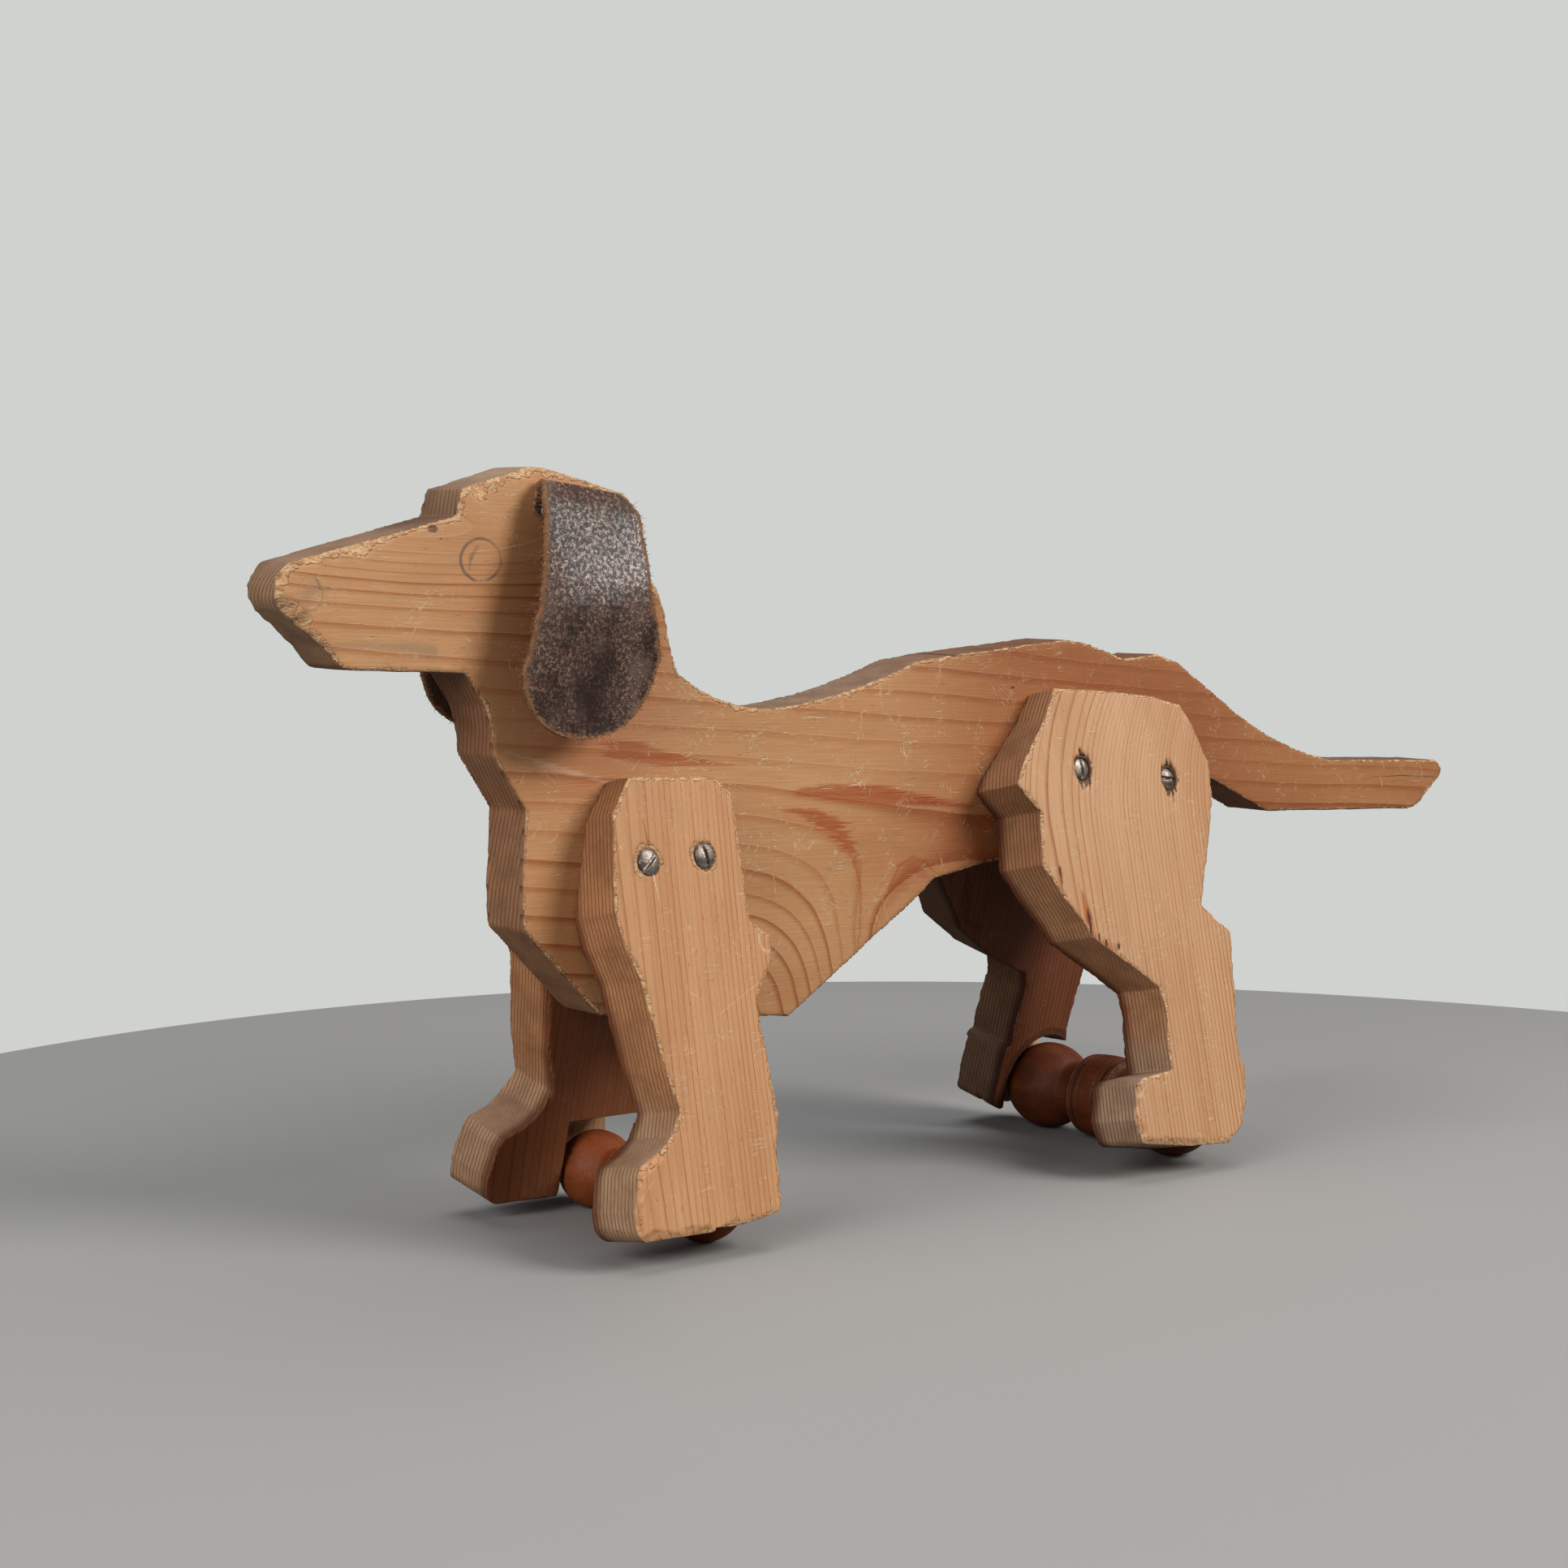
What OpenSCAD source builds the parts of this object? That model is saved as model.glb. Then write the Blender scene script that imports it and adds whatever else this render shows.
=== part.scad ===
// A sawn pine toy dog with leather ears that rolls on two turned wooden rollers.
// Millimetres. The head is towards -X, the dog's left side towards -Y, +Z is up, and the rollers stand on Z = 0.

/* [Boards] */
// Thickness of the board that holds head, trunk and tail
board_t = 18; // [15:1:22]
// Thickness of the boards that the legs are sawn from
leg_t = 20; // [17:1:22]
// Height of the chest's lowest corner above the floor
stand = 60; // [56:1:70]

/* [Head] */
// Length of the muzzle, nose tip to brow
muzzle_l = 56; // [46:1:66]
// Length of the skull, brow to the back of the crown
skull_l = 56; // [52:1:64]
// Height of the jaw above the chest's lowest corner
jaw_rise = 104.5; // [98:0.5:112]
// Height of the crown above the jaw
crown_h = 57; // [54:1:62]
// Height of the brow's edge above the jaw
brow_h = 49.5; // [47:0.5:52]
// Height of the stop, the corner between muzzle and brow, above the jaw
stop_h = 42; // [36:1:46]
// Height of the nose tip above the jaw
nose_h = 19.5; // [15:0.5:24]
// Wood planed off each side at the nose tip
nose_taper = 1.5; // [0.5:0.5:3]
// Length over which the nose is planed thinner
nose_taper_l = 24; // [12:1:36]

/* [Trunk] */
// Distance between the two roller axles
wheelbase = 213; // [200:1:240]
// Height of the back's lowest point above the chest's lowest corner
back_h = 95; // [90:1:98]
// Height of the hip above the chest's lowest corner
hip_h = 118.5; // [112:0.5:124]
// Height of the rump above the chest's lowest corner
rump_h = 114.5; // [110:0.5:118]
// Height of the belly in front of the hind legs, above the chest's lowest corner
belly_h = 44; // [38:1:48]
// Distance from the front axle forward to the chest
chest_x = 56; // [52:1:62]

/* [Tail] */
// Length of the tail, rump to tip
tail_l = 186; // [160:1:210]
// Thickness of the tail, top to underside
tail_h = 19.5; // [15:0.5:22]
// Height of the tail's underside above the chest's lowest corner
tail_rise = 55.5; // [50:0.5:62]

/* [Legs] */
// Outward lean of the front legs, degrees
front_splay = 12; // [10:0.5:13]
// Outward lean of the hind legs, degrees
rear_splay = 13; // [11:0.5:14]
// Thickness left at the top edge of a front leg, where it is planed to sit flat on the trunk
front_top_t = 10.4; // [8:0.2:12]
// Thickness left at the top edge of a hind leg
rear_top_t = 11.4; // [9:0.2:13]
// Height of a front leg's top above the chest's lowest corner
front_top_h = 76; // [74:1:80]
// Height of a hind leg's top above the chest's lowest corner
rear_top_h = 102.5; // [101:0.5:106]
// Toe length of the front feet, ahead of the ankle
front_toe_l = 19.5; // [12:0.5:24]
// Toe length of the left hind foot, ahead of its shin
rear_left_toe_l = 22; // [3:1:26]
// Toe length of the right hind foot, which was sawn shorter
rear_right_toe_l = 3; // [3:1:26]
// Distance of the left hind leg's shin ahead of the rear axle
rear_left_shin = 28; // [19:1:29]
// Distance of the right hind leg's shin ahead of the rear axle
rear_right_shin = 20; // [19:1:29]
// Height of a front sole's outer edge above the floor
front_sole_h = 9; // [8:0.5:11]
// Height of a hind sole's outer edge above the floor
rear_sole_h = 10; // [9:0.5:12]

/* [Rollers] */
// Diameter of the front roller's balls
front_ball_d = 24; // [22:1:27]
// Diameter of the rear roller's balls
rear_ball_d = 31; // [28:1:34]
// Diameter of the front roller's barrel, which stays clear of the floor
front_barrel_d = 23; // [21:0.5:23.5]
// Diameter of the rear roller's barrel, which stays clear of the floor
rear_barrel_d = 30; // [28:0.5:30.5]
// Diameter of the necks on the front roller
front_neck_d = 16; // [14:0.5:17]
// Diameter of the necks on the rear roller
rear_neck_d = 20.5; // [18:0.5:22]
// Drop from a barrel's middle to its rims
rim_drop = 0.7; // [0.5:0.1:1]
// Length of the hollow flare from a neck of the front roller up to its rim
front_flare_l = 6.5; // [5:0.5:8]
// Length of the hollow flare from a neck of the rear roller up to its rim
rear_flare_l = 8.3; // [6:0.1:9.5]
// Hollow of a flare, as a share of its length
flare_hollow = 0.17; // [0.1:0.01:0.22]
// Width of the turned groove behind each rim
groove_w = 0.6; // [0.4:0.1:1]
// Distance of the groove from its rim
groove_in = 2.7; // [2:0.1:3.5]
// Wood left outside the front roller's ends
front_wall = 8; // [7:0.5:10]
// Wood left outside the rear roller's ends
rear_wall = 10; // [8:0.5:12]
// Free play between a roller's end and its pocket
end_play = 0.5; // [0.4:0.1:1]
// Gap round the ball in the hind legs' scoops
scoop_gap = 2.5; // [1.5:0.5:4]
// Gap ahead of the ball in the front legs' rebates
rebate_gap = 1.5; // [1:0.5:3]
// Gap above the ball in the front legs' rebates
rebate_top = 4.5; // [2:0.5:6]
// Diameter of the steel axles
axle_d = 4; // [3:0.5:5]
// Depth of an axle's end in a leg
axle_seat = 4.5; // [3:0.5:5]
// Radial clearance of a roller on its axle
axle_run = 0.06; // [0.02:0.01:0.1]

/* [Screws] */
// Diameter of a screw's head
head_d = 7.5; // [6.5:0.5:8.5]
// Diameter of a screw's shank
shank_d = 4; // [3.5:0.5:4.5]
// Rise of the domed head above its rim
head_dome = 1; // [0.6:0.1:1.4]
// Width of a screw's slot
slot_w = 1.1; // [0.8:0.1:1.4]
// Depth of a screw's slot
slot_deep = 1.2; // [0.8:0.1:1.6]
// How far a screw reaches into the trunk
screw_bite = 7.5; // [5:0.5:8]
// How far the hind legs' screw heads are sunk below the wood
rear_sink = 1.2; // [0.6:0.1:2]
// Clearance round screws and tacks
fit = 0.05; // [0.03:0.01:0.1]

/* [Ears] */
// Thickness of the leather
leather_t = 2.2; // [1.6:0.2:3]
// Width of an ear along its fold
fold_w = 29; // [24:1:34]
// Length of an ear from fold to tip
ear_l = 70; // [60:1:76]
// Radius of the ear's round end
lobe_r = 24; // [20:1:27]
// How far the round end's centre lies behind the middle of the fold
lobe_back = 3; // [0:0.5:5]
// Distance from the brow back to the middle of the fold
ear_back = 37; // [34:1:42]
// Depth of the fold below the crown
ear_drop = 4.7; // [4:0.1:8]
// Slope of the fold, falling to the back, degrees
ear_tilt = 5.4; // [0:0.2:8]
// Angle at which an ear stands off the head, degrees
ear_stand = 9.6; // [6:0.2:12]
// Height of the leaf that is tacked to the head
hem_h = 7; // [6:0.5:10]
// Gap between the tacked leaf and the hanging ear
ear_gap = 0.3; // [0.2:0.1:0.6]
// Diameter of a tack's head
tack_head_d = 4; // [3:0.5:5]
// Diameter of a tack's shank
tack_d = 1.4; // [1:0.1:2]
// Length of a tack's shank in the wood
tack_bite = 6; // [4:0.5:7]

/* [Hidden] */
$fn = 64;

// Index of a front or rear value in the pairs below
FRONT = 0;
REAR = 1;
axle_x = [0, wheelbase];
ball_r = [front_ball_d / 2, rear_ball_d / 2];
barrel_r = [front_barrel_d / 2, rear_barrel_d / 2];
neck_r = [front_neck_d / 2, rear_neck_d / 2];
flare_l = [front_flare_l, rear_flare_l];
splay = [front_splay, rear_splay];
top_z = [stand + front_top_h, stand + rear_top_h];
top_t = [front_top_t, rear_top_t];
wall = [front_wall, rear_wall];
sink = [0, rear_sink];
// Screw places on a leg's outer face: distance from the axle, height
screw_xz = [
    [[-24, stand + 52], [-3, stand + 53]],
    [[-53, stand + 76], [-8.5, stand + 72]]
];
// How far each screw's slot ended up turned from upright, [fore, aft] on a leg
front_left_turn = [-48, 12];
front_right_turn = [20, 70];
rear_left_turn = [3, 84];
rear_right_turn = [35, -25];
// Height of the cone under a screw's rim
cone_h = (head_d - shank_d) / 2;
// Places of the two tacks along a fold, from its middle
tack_x = [-10, 8];
tack_head_h = 0.8;
// How far the tacked leaf shows ahead of the ear
hem_ahead = 2.5;
// Space left at the bottom of a blind hole
bottom_gap = 0.3;
// How far a cutting shape reaches past what it cuts
over = 1;

pine = "#d3ae78";
turned = "#7a4a33";
steel = "#8d8a86";
leather = "#5f474c";

side = board_t / 2;
jaw_z = stand + jaw_rise;
crown_z = jaw_z + crown_h;
brow_x = -80;
nose_x = brow_x - muzzle_l;
nape_x = brow_x + skull_l;
rump_x = wheelbase + 5;
tip_x = rump_x + tail_l;
tail_z = stand + tail_rise;
centre_x = (nose_x + tip_x) / 2;
reach = tip_x - nose_x;
roll_r = leather_t + ear_gap / 2;
fold_x = brow_x + ear_back;
fold_y = side + ear_gap + roll_r;
fold_z = crown_z - ear_drop - roll_r;

// Distance of a leg's outer face from the middle plane at height z
function outer_y(p, z) = side + top_t[p] + (top_z[p] - z) * tan(splay[p]);
// Half the length of a roller, set by the wood left outside its ends
function roller_half(p) = outer_y(p, ball_r[p]) - wall[p] - end_play;

// Points from a to b on an arc that stands s off its chord to the left, leaving out those before the first
function bow(a, b, s, n = 6, first = 0) =
    let (d = b - a, l = norm(d), r = (l * l / 4 + s * s) / (2 * abs(s)), half = asin(min(1, l / 2 / r)))
    [for (i = [first:n])
        let (t = half * (2 * i / n - 1))
        (a + b) / 2 + d / l * r * sin(t) + [-d.y, d.x] / l * sign(s) * (r * cos(t) - r + abs(s))];

// Outline of the body board as [x, z], from the nose over the back to the tail and home under the belly
function body_outline() = concat(
    bow([nose_x + 1, jaw_z + nose_h - 3.5], [nose_x + 7, jaw_z + nose_h + 9], 3.6),
    [
        [brow_x - 2, jaw_z + stop_h],
        [brow_x, jaw_z + brow_h],
        [brow_x + 9, jaw_z + brow_h + 3],
        [brow_x + 22, crown_z],
        [brow_x + 28, crown_z]
    ],
    bow([nape_x, crown_z - 5.5], [nape_x + 9, jaw_z + 28], 2.5),
    [
        [nape_x + 13.5, jaw_z + 25.5],
        [nape_x + 16, jaw_z + 18.5],
        [nape_x + 19, stand + back_h + 16.5]
    ],
    bow([-2, stand + back_h + 10], [45, stand + back_h + 1], -4.5),
    bow([46, stand + back_h + 1.2], [wheelbase - 116, stand + back_h + 15], -1.5, 4),
    [
        [wheelbase - 99, stand + hip_h - 6],
        [wheelbase - 45, stand + hip_h],
        [wheelbase - 33, stand + hip_h - 1],
        [wheelbase - 13, stand + hip_h - 6],
        [rump_x, stand + rump_h],
        [rump_x + 12, stand + rump_h - 3]
    ],
    bow([rump_x + 35, tail_z + tail_h + 25], [rump_x + 108, tail_z + tail_h + 0.7], -3.7),
    bow([tip_x - 8.5, tail_z + tail_h], [tip_x, tail_z + tail_h - 5], 1.6, 4),
    [[tip_x - 5, tail_z + 10.5]],
    bow([tip_x - 13, tail_z + 4.5], [tip_x - 24, tail_z], 1, 4),
    [
        [rump_x + 68, tail_z + 1.5],
        [rump_x + 34.5, tail_z + 14],
        [rump_x + 8, tail_z + 22]
    ],
    bow([rump_x, stand + belly_h + 30], [rump_x - 16, stand + belly_h + 8], 4, 4),
    [
        [wheelbase - 49, stand + belly_h + 2],
        [wheelbase - 79, stand + belly_h],
        [wheelbase - 104, stand + belly_h - 4.3],
        [wheelbase - 110, stand + belly_h - 9],
        [46.5, stand],
        [-27.5, stand + 6.3],
        [0.5 - chest_x, stand + 32.4],
        [-chest_x - 0.5, stand + 44],
        [-chest_x, stand + 66],
        [-chest_x - 11.5, jaw_z - 23],
        [-chest_x - 12.5, jaw_z - 15.5],
        [-chest_x - 14.5, jaw_z - 9.5],
        [-chest_x - 21.5, jaw_z - 0.5],
        [nose_x + 20, jaw_z],
        [nose_x + 14, jaw_z + 6]
    ]
);

// Outline of a front leg on its outer face as [distance from the axle, height], clockwise from the top
function front_leg_outline(toe) = [
    [-28, top_z[FRONT]],
    [4, top_z[FRONT] - 0.5],
    [10.5, top_z[FRONT] - 6],
    [11, stand + 57],
    [12, stand + 34],
    [19, stand + 29.5],
    [19, stand + 22],
    [11, stand + 11],
    [13.5, 52],
    [15, 38],
    [12.8, 28.5],
    [13, front_sole_h + 6],
    [11, front_sole_h + 2.5],
    [4, front_sole_h + 1.2],
    [-14, front_sole_h],
    [-21.5 - toe, front_sole_h + 0.6],
    [-22 - toe, 18],
    [-19.7 - toe, 27.5],
    [-18 - toe, 30],
    [-30.5, 33],
    [-26, 36.7],
    [-22, 43],
    [-25.8, 54.5],
    [-31, stand + 19.5],
    [-35.7, stand + 29.7],
    [-38, stand + 38.7],
    [-36.6, stand + 53],
    [-35, top_z[FRONT] - 10]
];

// Outline of a hind leg, in the same terms
function rear_leg_outline(toe, shin) = [
    [-62, top_z[REAR]],
    [-37, top_z[REAR] - 0.7],
    [-11.7, top_z[REAR] - 2.5],
    [3.3, top_z[REAR] - 5.3],
    [8.5, stand + 90],
    [14.7, stand + 77],
    [14.4, stand + 65.7],
    [6.2, stand + 43.6],
    [-0.3, stand + 28.8],
    [13.8, stand + 18.9],
    [12.4, stand + 4.6],
    [9.4, 40],
    [11.6, 31.7],
    [9.1, 21],
    [6.2, rear_sole_h + 4.6],
    [-3.1, rear_sole_h - 0.6],
    [5.2 - shin, rear_sole_h + 0.6],
    [-shin - toe * 0.88, rear_sole_h + 2.5 + toe * 0.07],
    [-shin - toe, 22],
    [-shin - toe * 0.85, 33.2],
    [-shin - toe * 0.7, 35],
    [-shin, 36],
    [-shin - 0.5, 43.5],
    [1.1 - shin, 56.7],
    [-shin - 0.6, stand + 2.7],
    [-39.8, stand + 10],
    [-59.5, stand + 21.4],
    [-63.3, stand + 26.8],
    [-69.9, stand + 33.7],
    [-79.4, stand + 45.7],
    [-76.9, stand + 62.5],
    [-86.5, stand + 71.5],
    [-82, stand + 78.2],
    [-67.8, stand + 93.8]
];

// Outline of an ear as [distance back from the fold's middle, height above the fold's top]
function ear_outline() = concat(
    [[-fold_w / 2, over], [fold_w / 2, over], [fold_w / 2, 0]],
    bow([fold_w / 2 + 5.8, -6], [lobe_back + lobe_r - 0.2, lobe_r + 1 - ear_l], 0.6, 4),
    bow([lobe_back + lobe_r - 0.2, lobe_r + 1 - ear_l], [lobe_back - 6, -ear_l], 8.2, 10, 1),
    bow([lobe_back - 6, -ear_l], [lobe_back - lobe_r + 0.4, 15 - ear_l], 4.2, 6, 1),
    bow([lobe_back - lobe_r + 0.4, 15 - ear_l], [-fold_w / 2, -11], -0.8, 4, 1)
);

// Section across an ear as [distance outward, height], 0 on the fold's axis: a rolled top and a flat leaf
function ear_section() = concat(
    [for (i = [0:24]) let (t = i / 24 * (360 - acos(ear_gap / 2 / roll_r))) roll_r * [cos(t), sin(t)]],
    [[ear_gap / 2, -ear_l - over], [roll_r, -ear_l - over]]
);

// Outline of a domed cap of radius r and rise h as [radius, height], from its rim to its top
function dome(r, h, n = 6) =
    let (ball = (r * r + h * h) / (2 * h), half = asin(r / ball))
    [for (i = [n:-1:0]) [ball * sin(half * i / n), h - ball + ball * cos(half * i / n)]];

// Outline of half a roller as [radius, distance from its middle]: barrel, groove, rim, flare, neck and ball
function roller_outline(p) =
    let (
        ball_y = roller_half(p) - ball_r[p],
        neck_a = acos(neck_r[p] / ball_r[p]),
        neck_y = ball_y - ball_r[p] * sin(neck_a),
        rim_y = neck_y - flare_l[p],
        groove_y = rim_y - groove_in
    )
    concat(
        [for (i = [0:4]) let (y = (groove_y - groove_w / 2) * i / 4) [barrel_at(p, y, rim_y), y]],
        [[barrel_at(p, groove_y, rim_y) - groove_w / 2, groove_y]],
        [[barrel_at(p, groove_y + groove_w / 2, rim_y), groove_y + groove_w / 2]],
        bow([barrel_r[p] - rim_drop, rim_y], [neck_r[p], neck_y], flare_l[p] * flare_hollow, 8),
        [for (i = [1:16]) let (t = -neck_a + (90 + neck_a) * i / 16) [ball_r[p] * cos(t), ball_y + ball_r[p] * sin(t)]]
    );

// Radius of a roller's barrel at distance y from its middle
function barrel_at(p, y, rim_y) = barrel_r[p] - rim_drop * pow(y / rim_y, 2);

// Depth of a leg's pocket, measured from the middle plane
function pocket_y(p) = outer_y(p, ball_r[p]) - wall[p];

// Length of a screw under its rim
function screw_l(p, s) = (outer_y(p, screw_xz[p][s].y) - side + screw_bite) / cos(splay[p]) - sink[p];

// Moves a piece drawn from the front axle to the frame's origin, in the middle of the length
module place() translate([-centre_x, 0, 0]) children();

// Draws a left piece on the right side
module to_right() mirror([0, 1, 0]) children();

// A board with its outline in the middle plane
module board(points, t) rotate([90, 0, 0]) linear_extrude(t, center = true) polygon(points);

// Moves to height z on a left leg's outer face, with Z square to it and outward and Y up its slope
module on_face(p, x, z) translate([x, -outer_y(p, z), z]) rotate([90 - splay[p], 0, 0]) children();

// Moves to a screw on a left leg, with Z along it and 0 at its rim
module on_screw(p, s) on_face(p, axle_x[p] + screw_xz[p][s].x, screw_xz[p][s].y)
    translate([0, 0, -sink[p]]) children();

// Moves to the middle of a left ear's fold, with X back along it
module on_fold() translate([fold_x, -fold_y, fold_z]) rotate([0, ear_tilt, 0]) children();

// Moves to a tack of a left ear, with Z along it and 0 on the leather
module on_tack(s) on_fold()
    translate([tack_x[s], fold_y - side - leather_t, -roll_r - ear_gap - hem_h / 2]) rotate([90, 0, 0]) children();

// A slotted wood screw, its slot turned from upright by the leg's value for it
module screw(p, s, turn) on_screw(p, s) difference() {
    rotate_extrude() polygon(concat(
        [[0, -screw_l(p, s)], [shank_d / 2, shank_d - screw_l(p, s)], [shank_d / 2, -cone_h]],
        dome(head_d / 2, head_dome)
    ));
    rotate([0, 0, turn[s]]) translate([-slot_w / 2, -head_d, head_dome - slot_deep])
        cube([slot_w, 2 * head_d, slot_deep + over]);
}

// The hole of a screw through its leg and into the trunk, countersunk for the head
module screw_hole(p, s) on_screw(p, s) {
    translate([0, 0, -screw_l(p, s) - bottom_gap])
        cylinder(h = screw_l(p, s) + bottom_gap, d = shank_d + 2 * fit);
    translate([0, 0, -cone_h]) cylinder(h = cone_h, d1 = shank_d + 2 * fit, d2 = head_d + 2 * fit);
    cylinder(h = sink[p] + over, d = head_d + 2 * fit);
}

// A tack with a domed head
module tack(s) on_tack(s) {
    translate([0, 0, -leather_t - tack_bite]) cylinder(h = leather_t + tack_bite, d = tack_d);
    rotate_extrude() polygon(concat([[0, 0]], dome(tack_head_d / 2, tack_head_h)));
}

// The hole of a tack through the leather and into the head
module tack_hole(s) on_tack(s) translate([0, 0, -leather_t - tack_bite - bottom_gap])
    cylinder(h = leather_t + tack_bite + bottom_gap + over, d = tack_d + 2 * fit);

// Wedge planed off the left side of the nose
module nose_cut() translate([nose_x, -side, 0]) linear_extrude(crown_z) polygon([
    [-over, nose_taper * (nose_taper_l + over) / nose_taper_l],
    [-over, -over],
    [nose_taper_l, -over],
    [nose_taper_l, 0]
]);

// A left leg without its roller pocket: a splayed board, planed upright where it sits on the trunk
module leg_board(p, outline) difference() {
    intersection() {
        on_face(p, axle_x[p], 0) translate([0, 0, -leg_t]) linear_extrude(leg_t)
            polygon([for (q = outline) [q.x, q.y / cos(splay[p])]]);
        translate([axle_x[p] - reach / 2, -side - reach, -reach / 2]) cube(reach);
    }
    translate([axle_x[p], 0, ball_r[p]]) rotate([90, 0, 0])
        cylinder(h = pocket_y(p) + axle_seat, d = axle_d + 2 * fit);
    for (s = [0, 1])
        screw_hole(p, s);
}

// A left front leg, rebated square on its inner face for the roller's ball
module front_leg() difference() {
    leg_board(FRONT, front_leg_outline(front_toe_l));
    translate([-ball_r[FRONT] - rebate_gap, -pocket_y(FRONT), -over])
        cube([chest_x, pocket_y(FRONT), front_ball_d + rebate_top + over]);
}

// A left hind leg, scooped out round on its inner face for the roller's ball
module rear_leg(toe, shin) difference() {
    leg_board(REAR, rear_leg_outline(toe, shin));
    translate([axle_x[REAR], 0, ball_r[REAR]]) rotate([90, 0, 0])
        cylinder(h = pocket_y(REAR), r = ball_r[REAR] + scoop_gap);
}

// A roller turned from one piece, bored for its axle
module roller(p) translate([axle_x[p], 0, ball_r[p]]) rotate([90, 0, 0]) difference() {
    half = roller_outline(p);
    rotate_extrude() polygon(concat([for (i = [len(half) - 1:-1:1]) [half[i].x, -half[i].y]], half));
    cylinder(h = 3 * roller_half(p), d = axle_d + 2 * axle_run, center = true);
}

// A steel axle held in the legs' blind holes
module axle(p) translate([axle_x[p], 0, ball_r[p]]) rotate([90, 0, 0])
    cylinder(h = 2 * (pocket_y(p) + axle_seat - bottom_gap), d = axle_d, center = true);

// A left ear: rolled over at its fold, hanging and standing off the head
module ear() on_fold() rotate([-ear_stand, 0, 0]) intersection() {
    rotate([90, 0, 90]) linear_extrude(3 * lobe_r, center = true)
        polygon([for (q = ear_section()) [-q.x, q.y]]);
    translate([0, 0, roll_r]) board(ear_outline(), 3 * roll_r);
}

// The narrow leaf of a left ear that is tacked flat to the head
module hem() difference() {
    on_fold() translate([-fold_w / 2 - hem_ahead, fold_y - side - leather_t, -roll_r - ear_gap - hem_h])
        cube([fold_w + hem_ahead, leather_t, hem_h]);
    for (s = [0, 1])
        tack_hole(s);
}

// The body board: head, trunk and tail sawn from one piece, the nose planed thinner
module body() color(pine) place() difference() {
    board(body_outline(), board_t);
    nose_cut();
    to_right() nose_cut();
    for (p = [FRONT, REAR], s = [0, 1]) {
        screw_hole(p, s);
        to_right() screw_hole(p, s);
    }
    for (s = [0, 1]) {
        tack_hole(s);
        to_right() tack_hole(s);
    }
}

module front_left_leg() color(pine) place() front_leg();
module front_right_leg() color(pine) place() to_right() front_leg();
module rear_left_leg() color(pine) place() rear_leg(rear_left_toe_l, rear_left_shin);
module rear_right_leg() color(pine) place() to_right() rear_leg(rear_right_toe_l, rear_right_shin);

module front_left_screw_fore() color(steel) place() screw(FRONT, 0, front_left_turn);
module front_left_screw_aft() color(steel) place() screw(FRONT, 1, front_left_turn);
module front_right_screw_fore() color(steel) place() to_right() screw(FRONT, 0, front_right_turn);
module front_right_screw_aft() color(steel) place() to_right() screw(FRONT, 1, front_right_turn);
module rear_left_screw_fore() color(steel) place() screw(REAR, 0, rear_left_turn);
module rear_left_screw_aft() color(steel) place() screw(REAR, 1, rear_left_turn);
module rear_right_screw_fore() color(steel) place() to_right() screw(REAR, 0, rear_right_turn);
module rear_right_screw_aft() color(steel) place() to_right() screw(REAR, 1, rear_right_turn);

module front_roller() color(turned) place() roller(FRONT);
module rear_roller() color(turned) place() roller(REAR);
module front_axle() color(steel) place() axle(FRONT);
module rear_axle() color(steel) place() axle(REAR);

module ear_left() color(leather) place() ear();
module ear_right() color(leather) place() to_right() ear();
module ear_left_hem() color(leather) place() hem();
module ear_right_hem() color(leather) place() to_right() hem();
module ear_left_tack_fore() color(steel) place() tack(0);
module ear_left_tack_aft() color(steel) place() tack(1);
module ear_right_tack_fore() color(steel) place() to_right() tack(0);
module ear_right_tack_aft() color(steel) place() to_right() tack(1);

body();
front_left_leg();
front_right_leg();
rear_left_leg();
rear_right_leg();
front_left_screw_fore();
front_left_screw_aft();
front_right_screw_fore();
front_right_screw_aft();
rear_left_screw_fore();
rear_left_screw_aft();
rear_right_screw_fore();
rear_right_screw_aft();
front_roller();
rear_roller();
front_axle();
rear_axle();
ear_left();
ear_right();
ear_left_hem();
ear_right_hem();
ear_left_tack_fore();
ear_left_tack_aft();
ear_right_tack_fore();
ear_right_tack_aft();
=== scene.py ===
# %% [markdown]
# # A sawn pine toy dog on two turned rollers
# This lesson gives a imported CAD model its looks. The toy is cut from pine boards with a hand saw, its ears are
# leather, and it rolls on two turned rollers. Every visible piece is built here from the CAD solid that it stands
# for, so the sizes stay right, and each finish is a procedural material.

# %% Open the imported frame
import math

import bmesh
import bpy
import numpy as np
from mathutils import Euler, Matrix, Vector, noise
from mathutils.bvhtree import BVHTree
from mathutils.kdtree import KDTree


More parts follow.
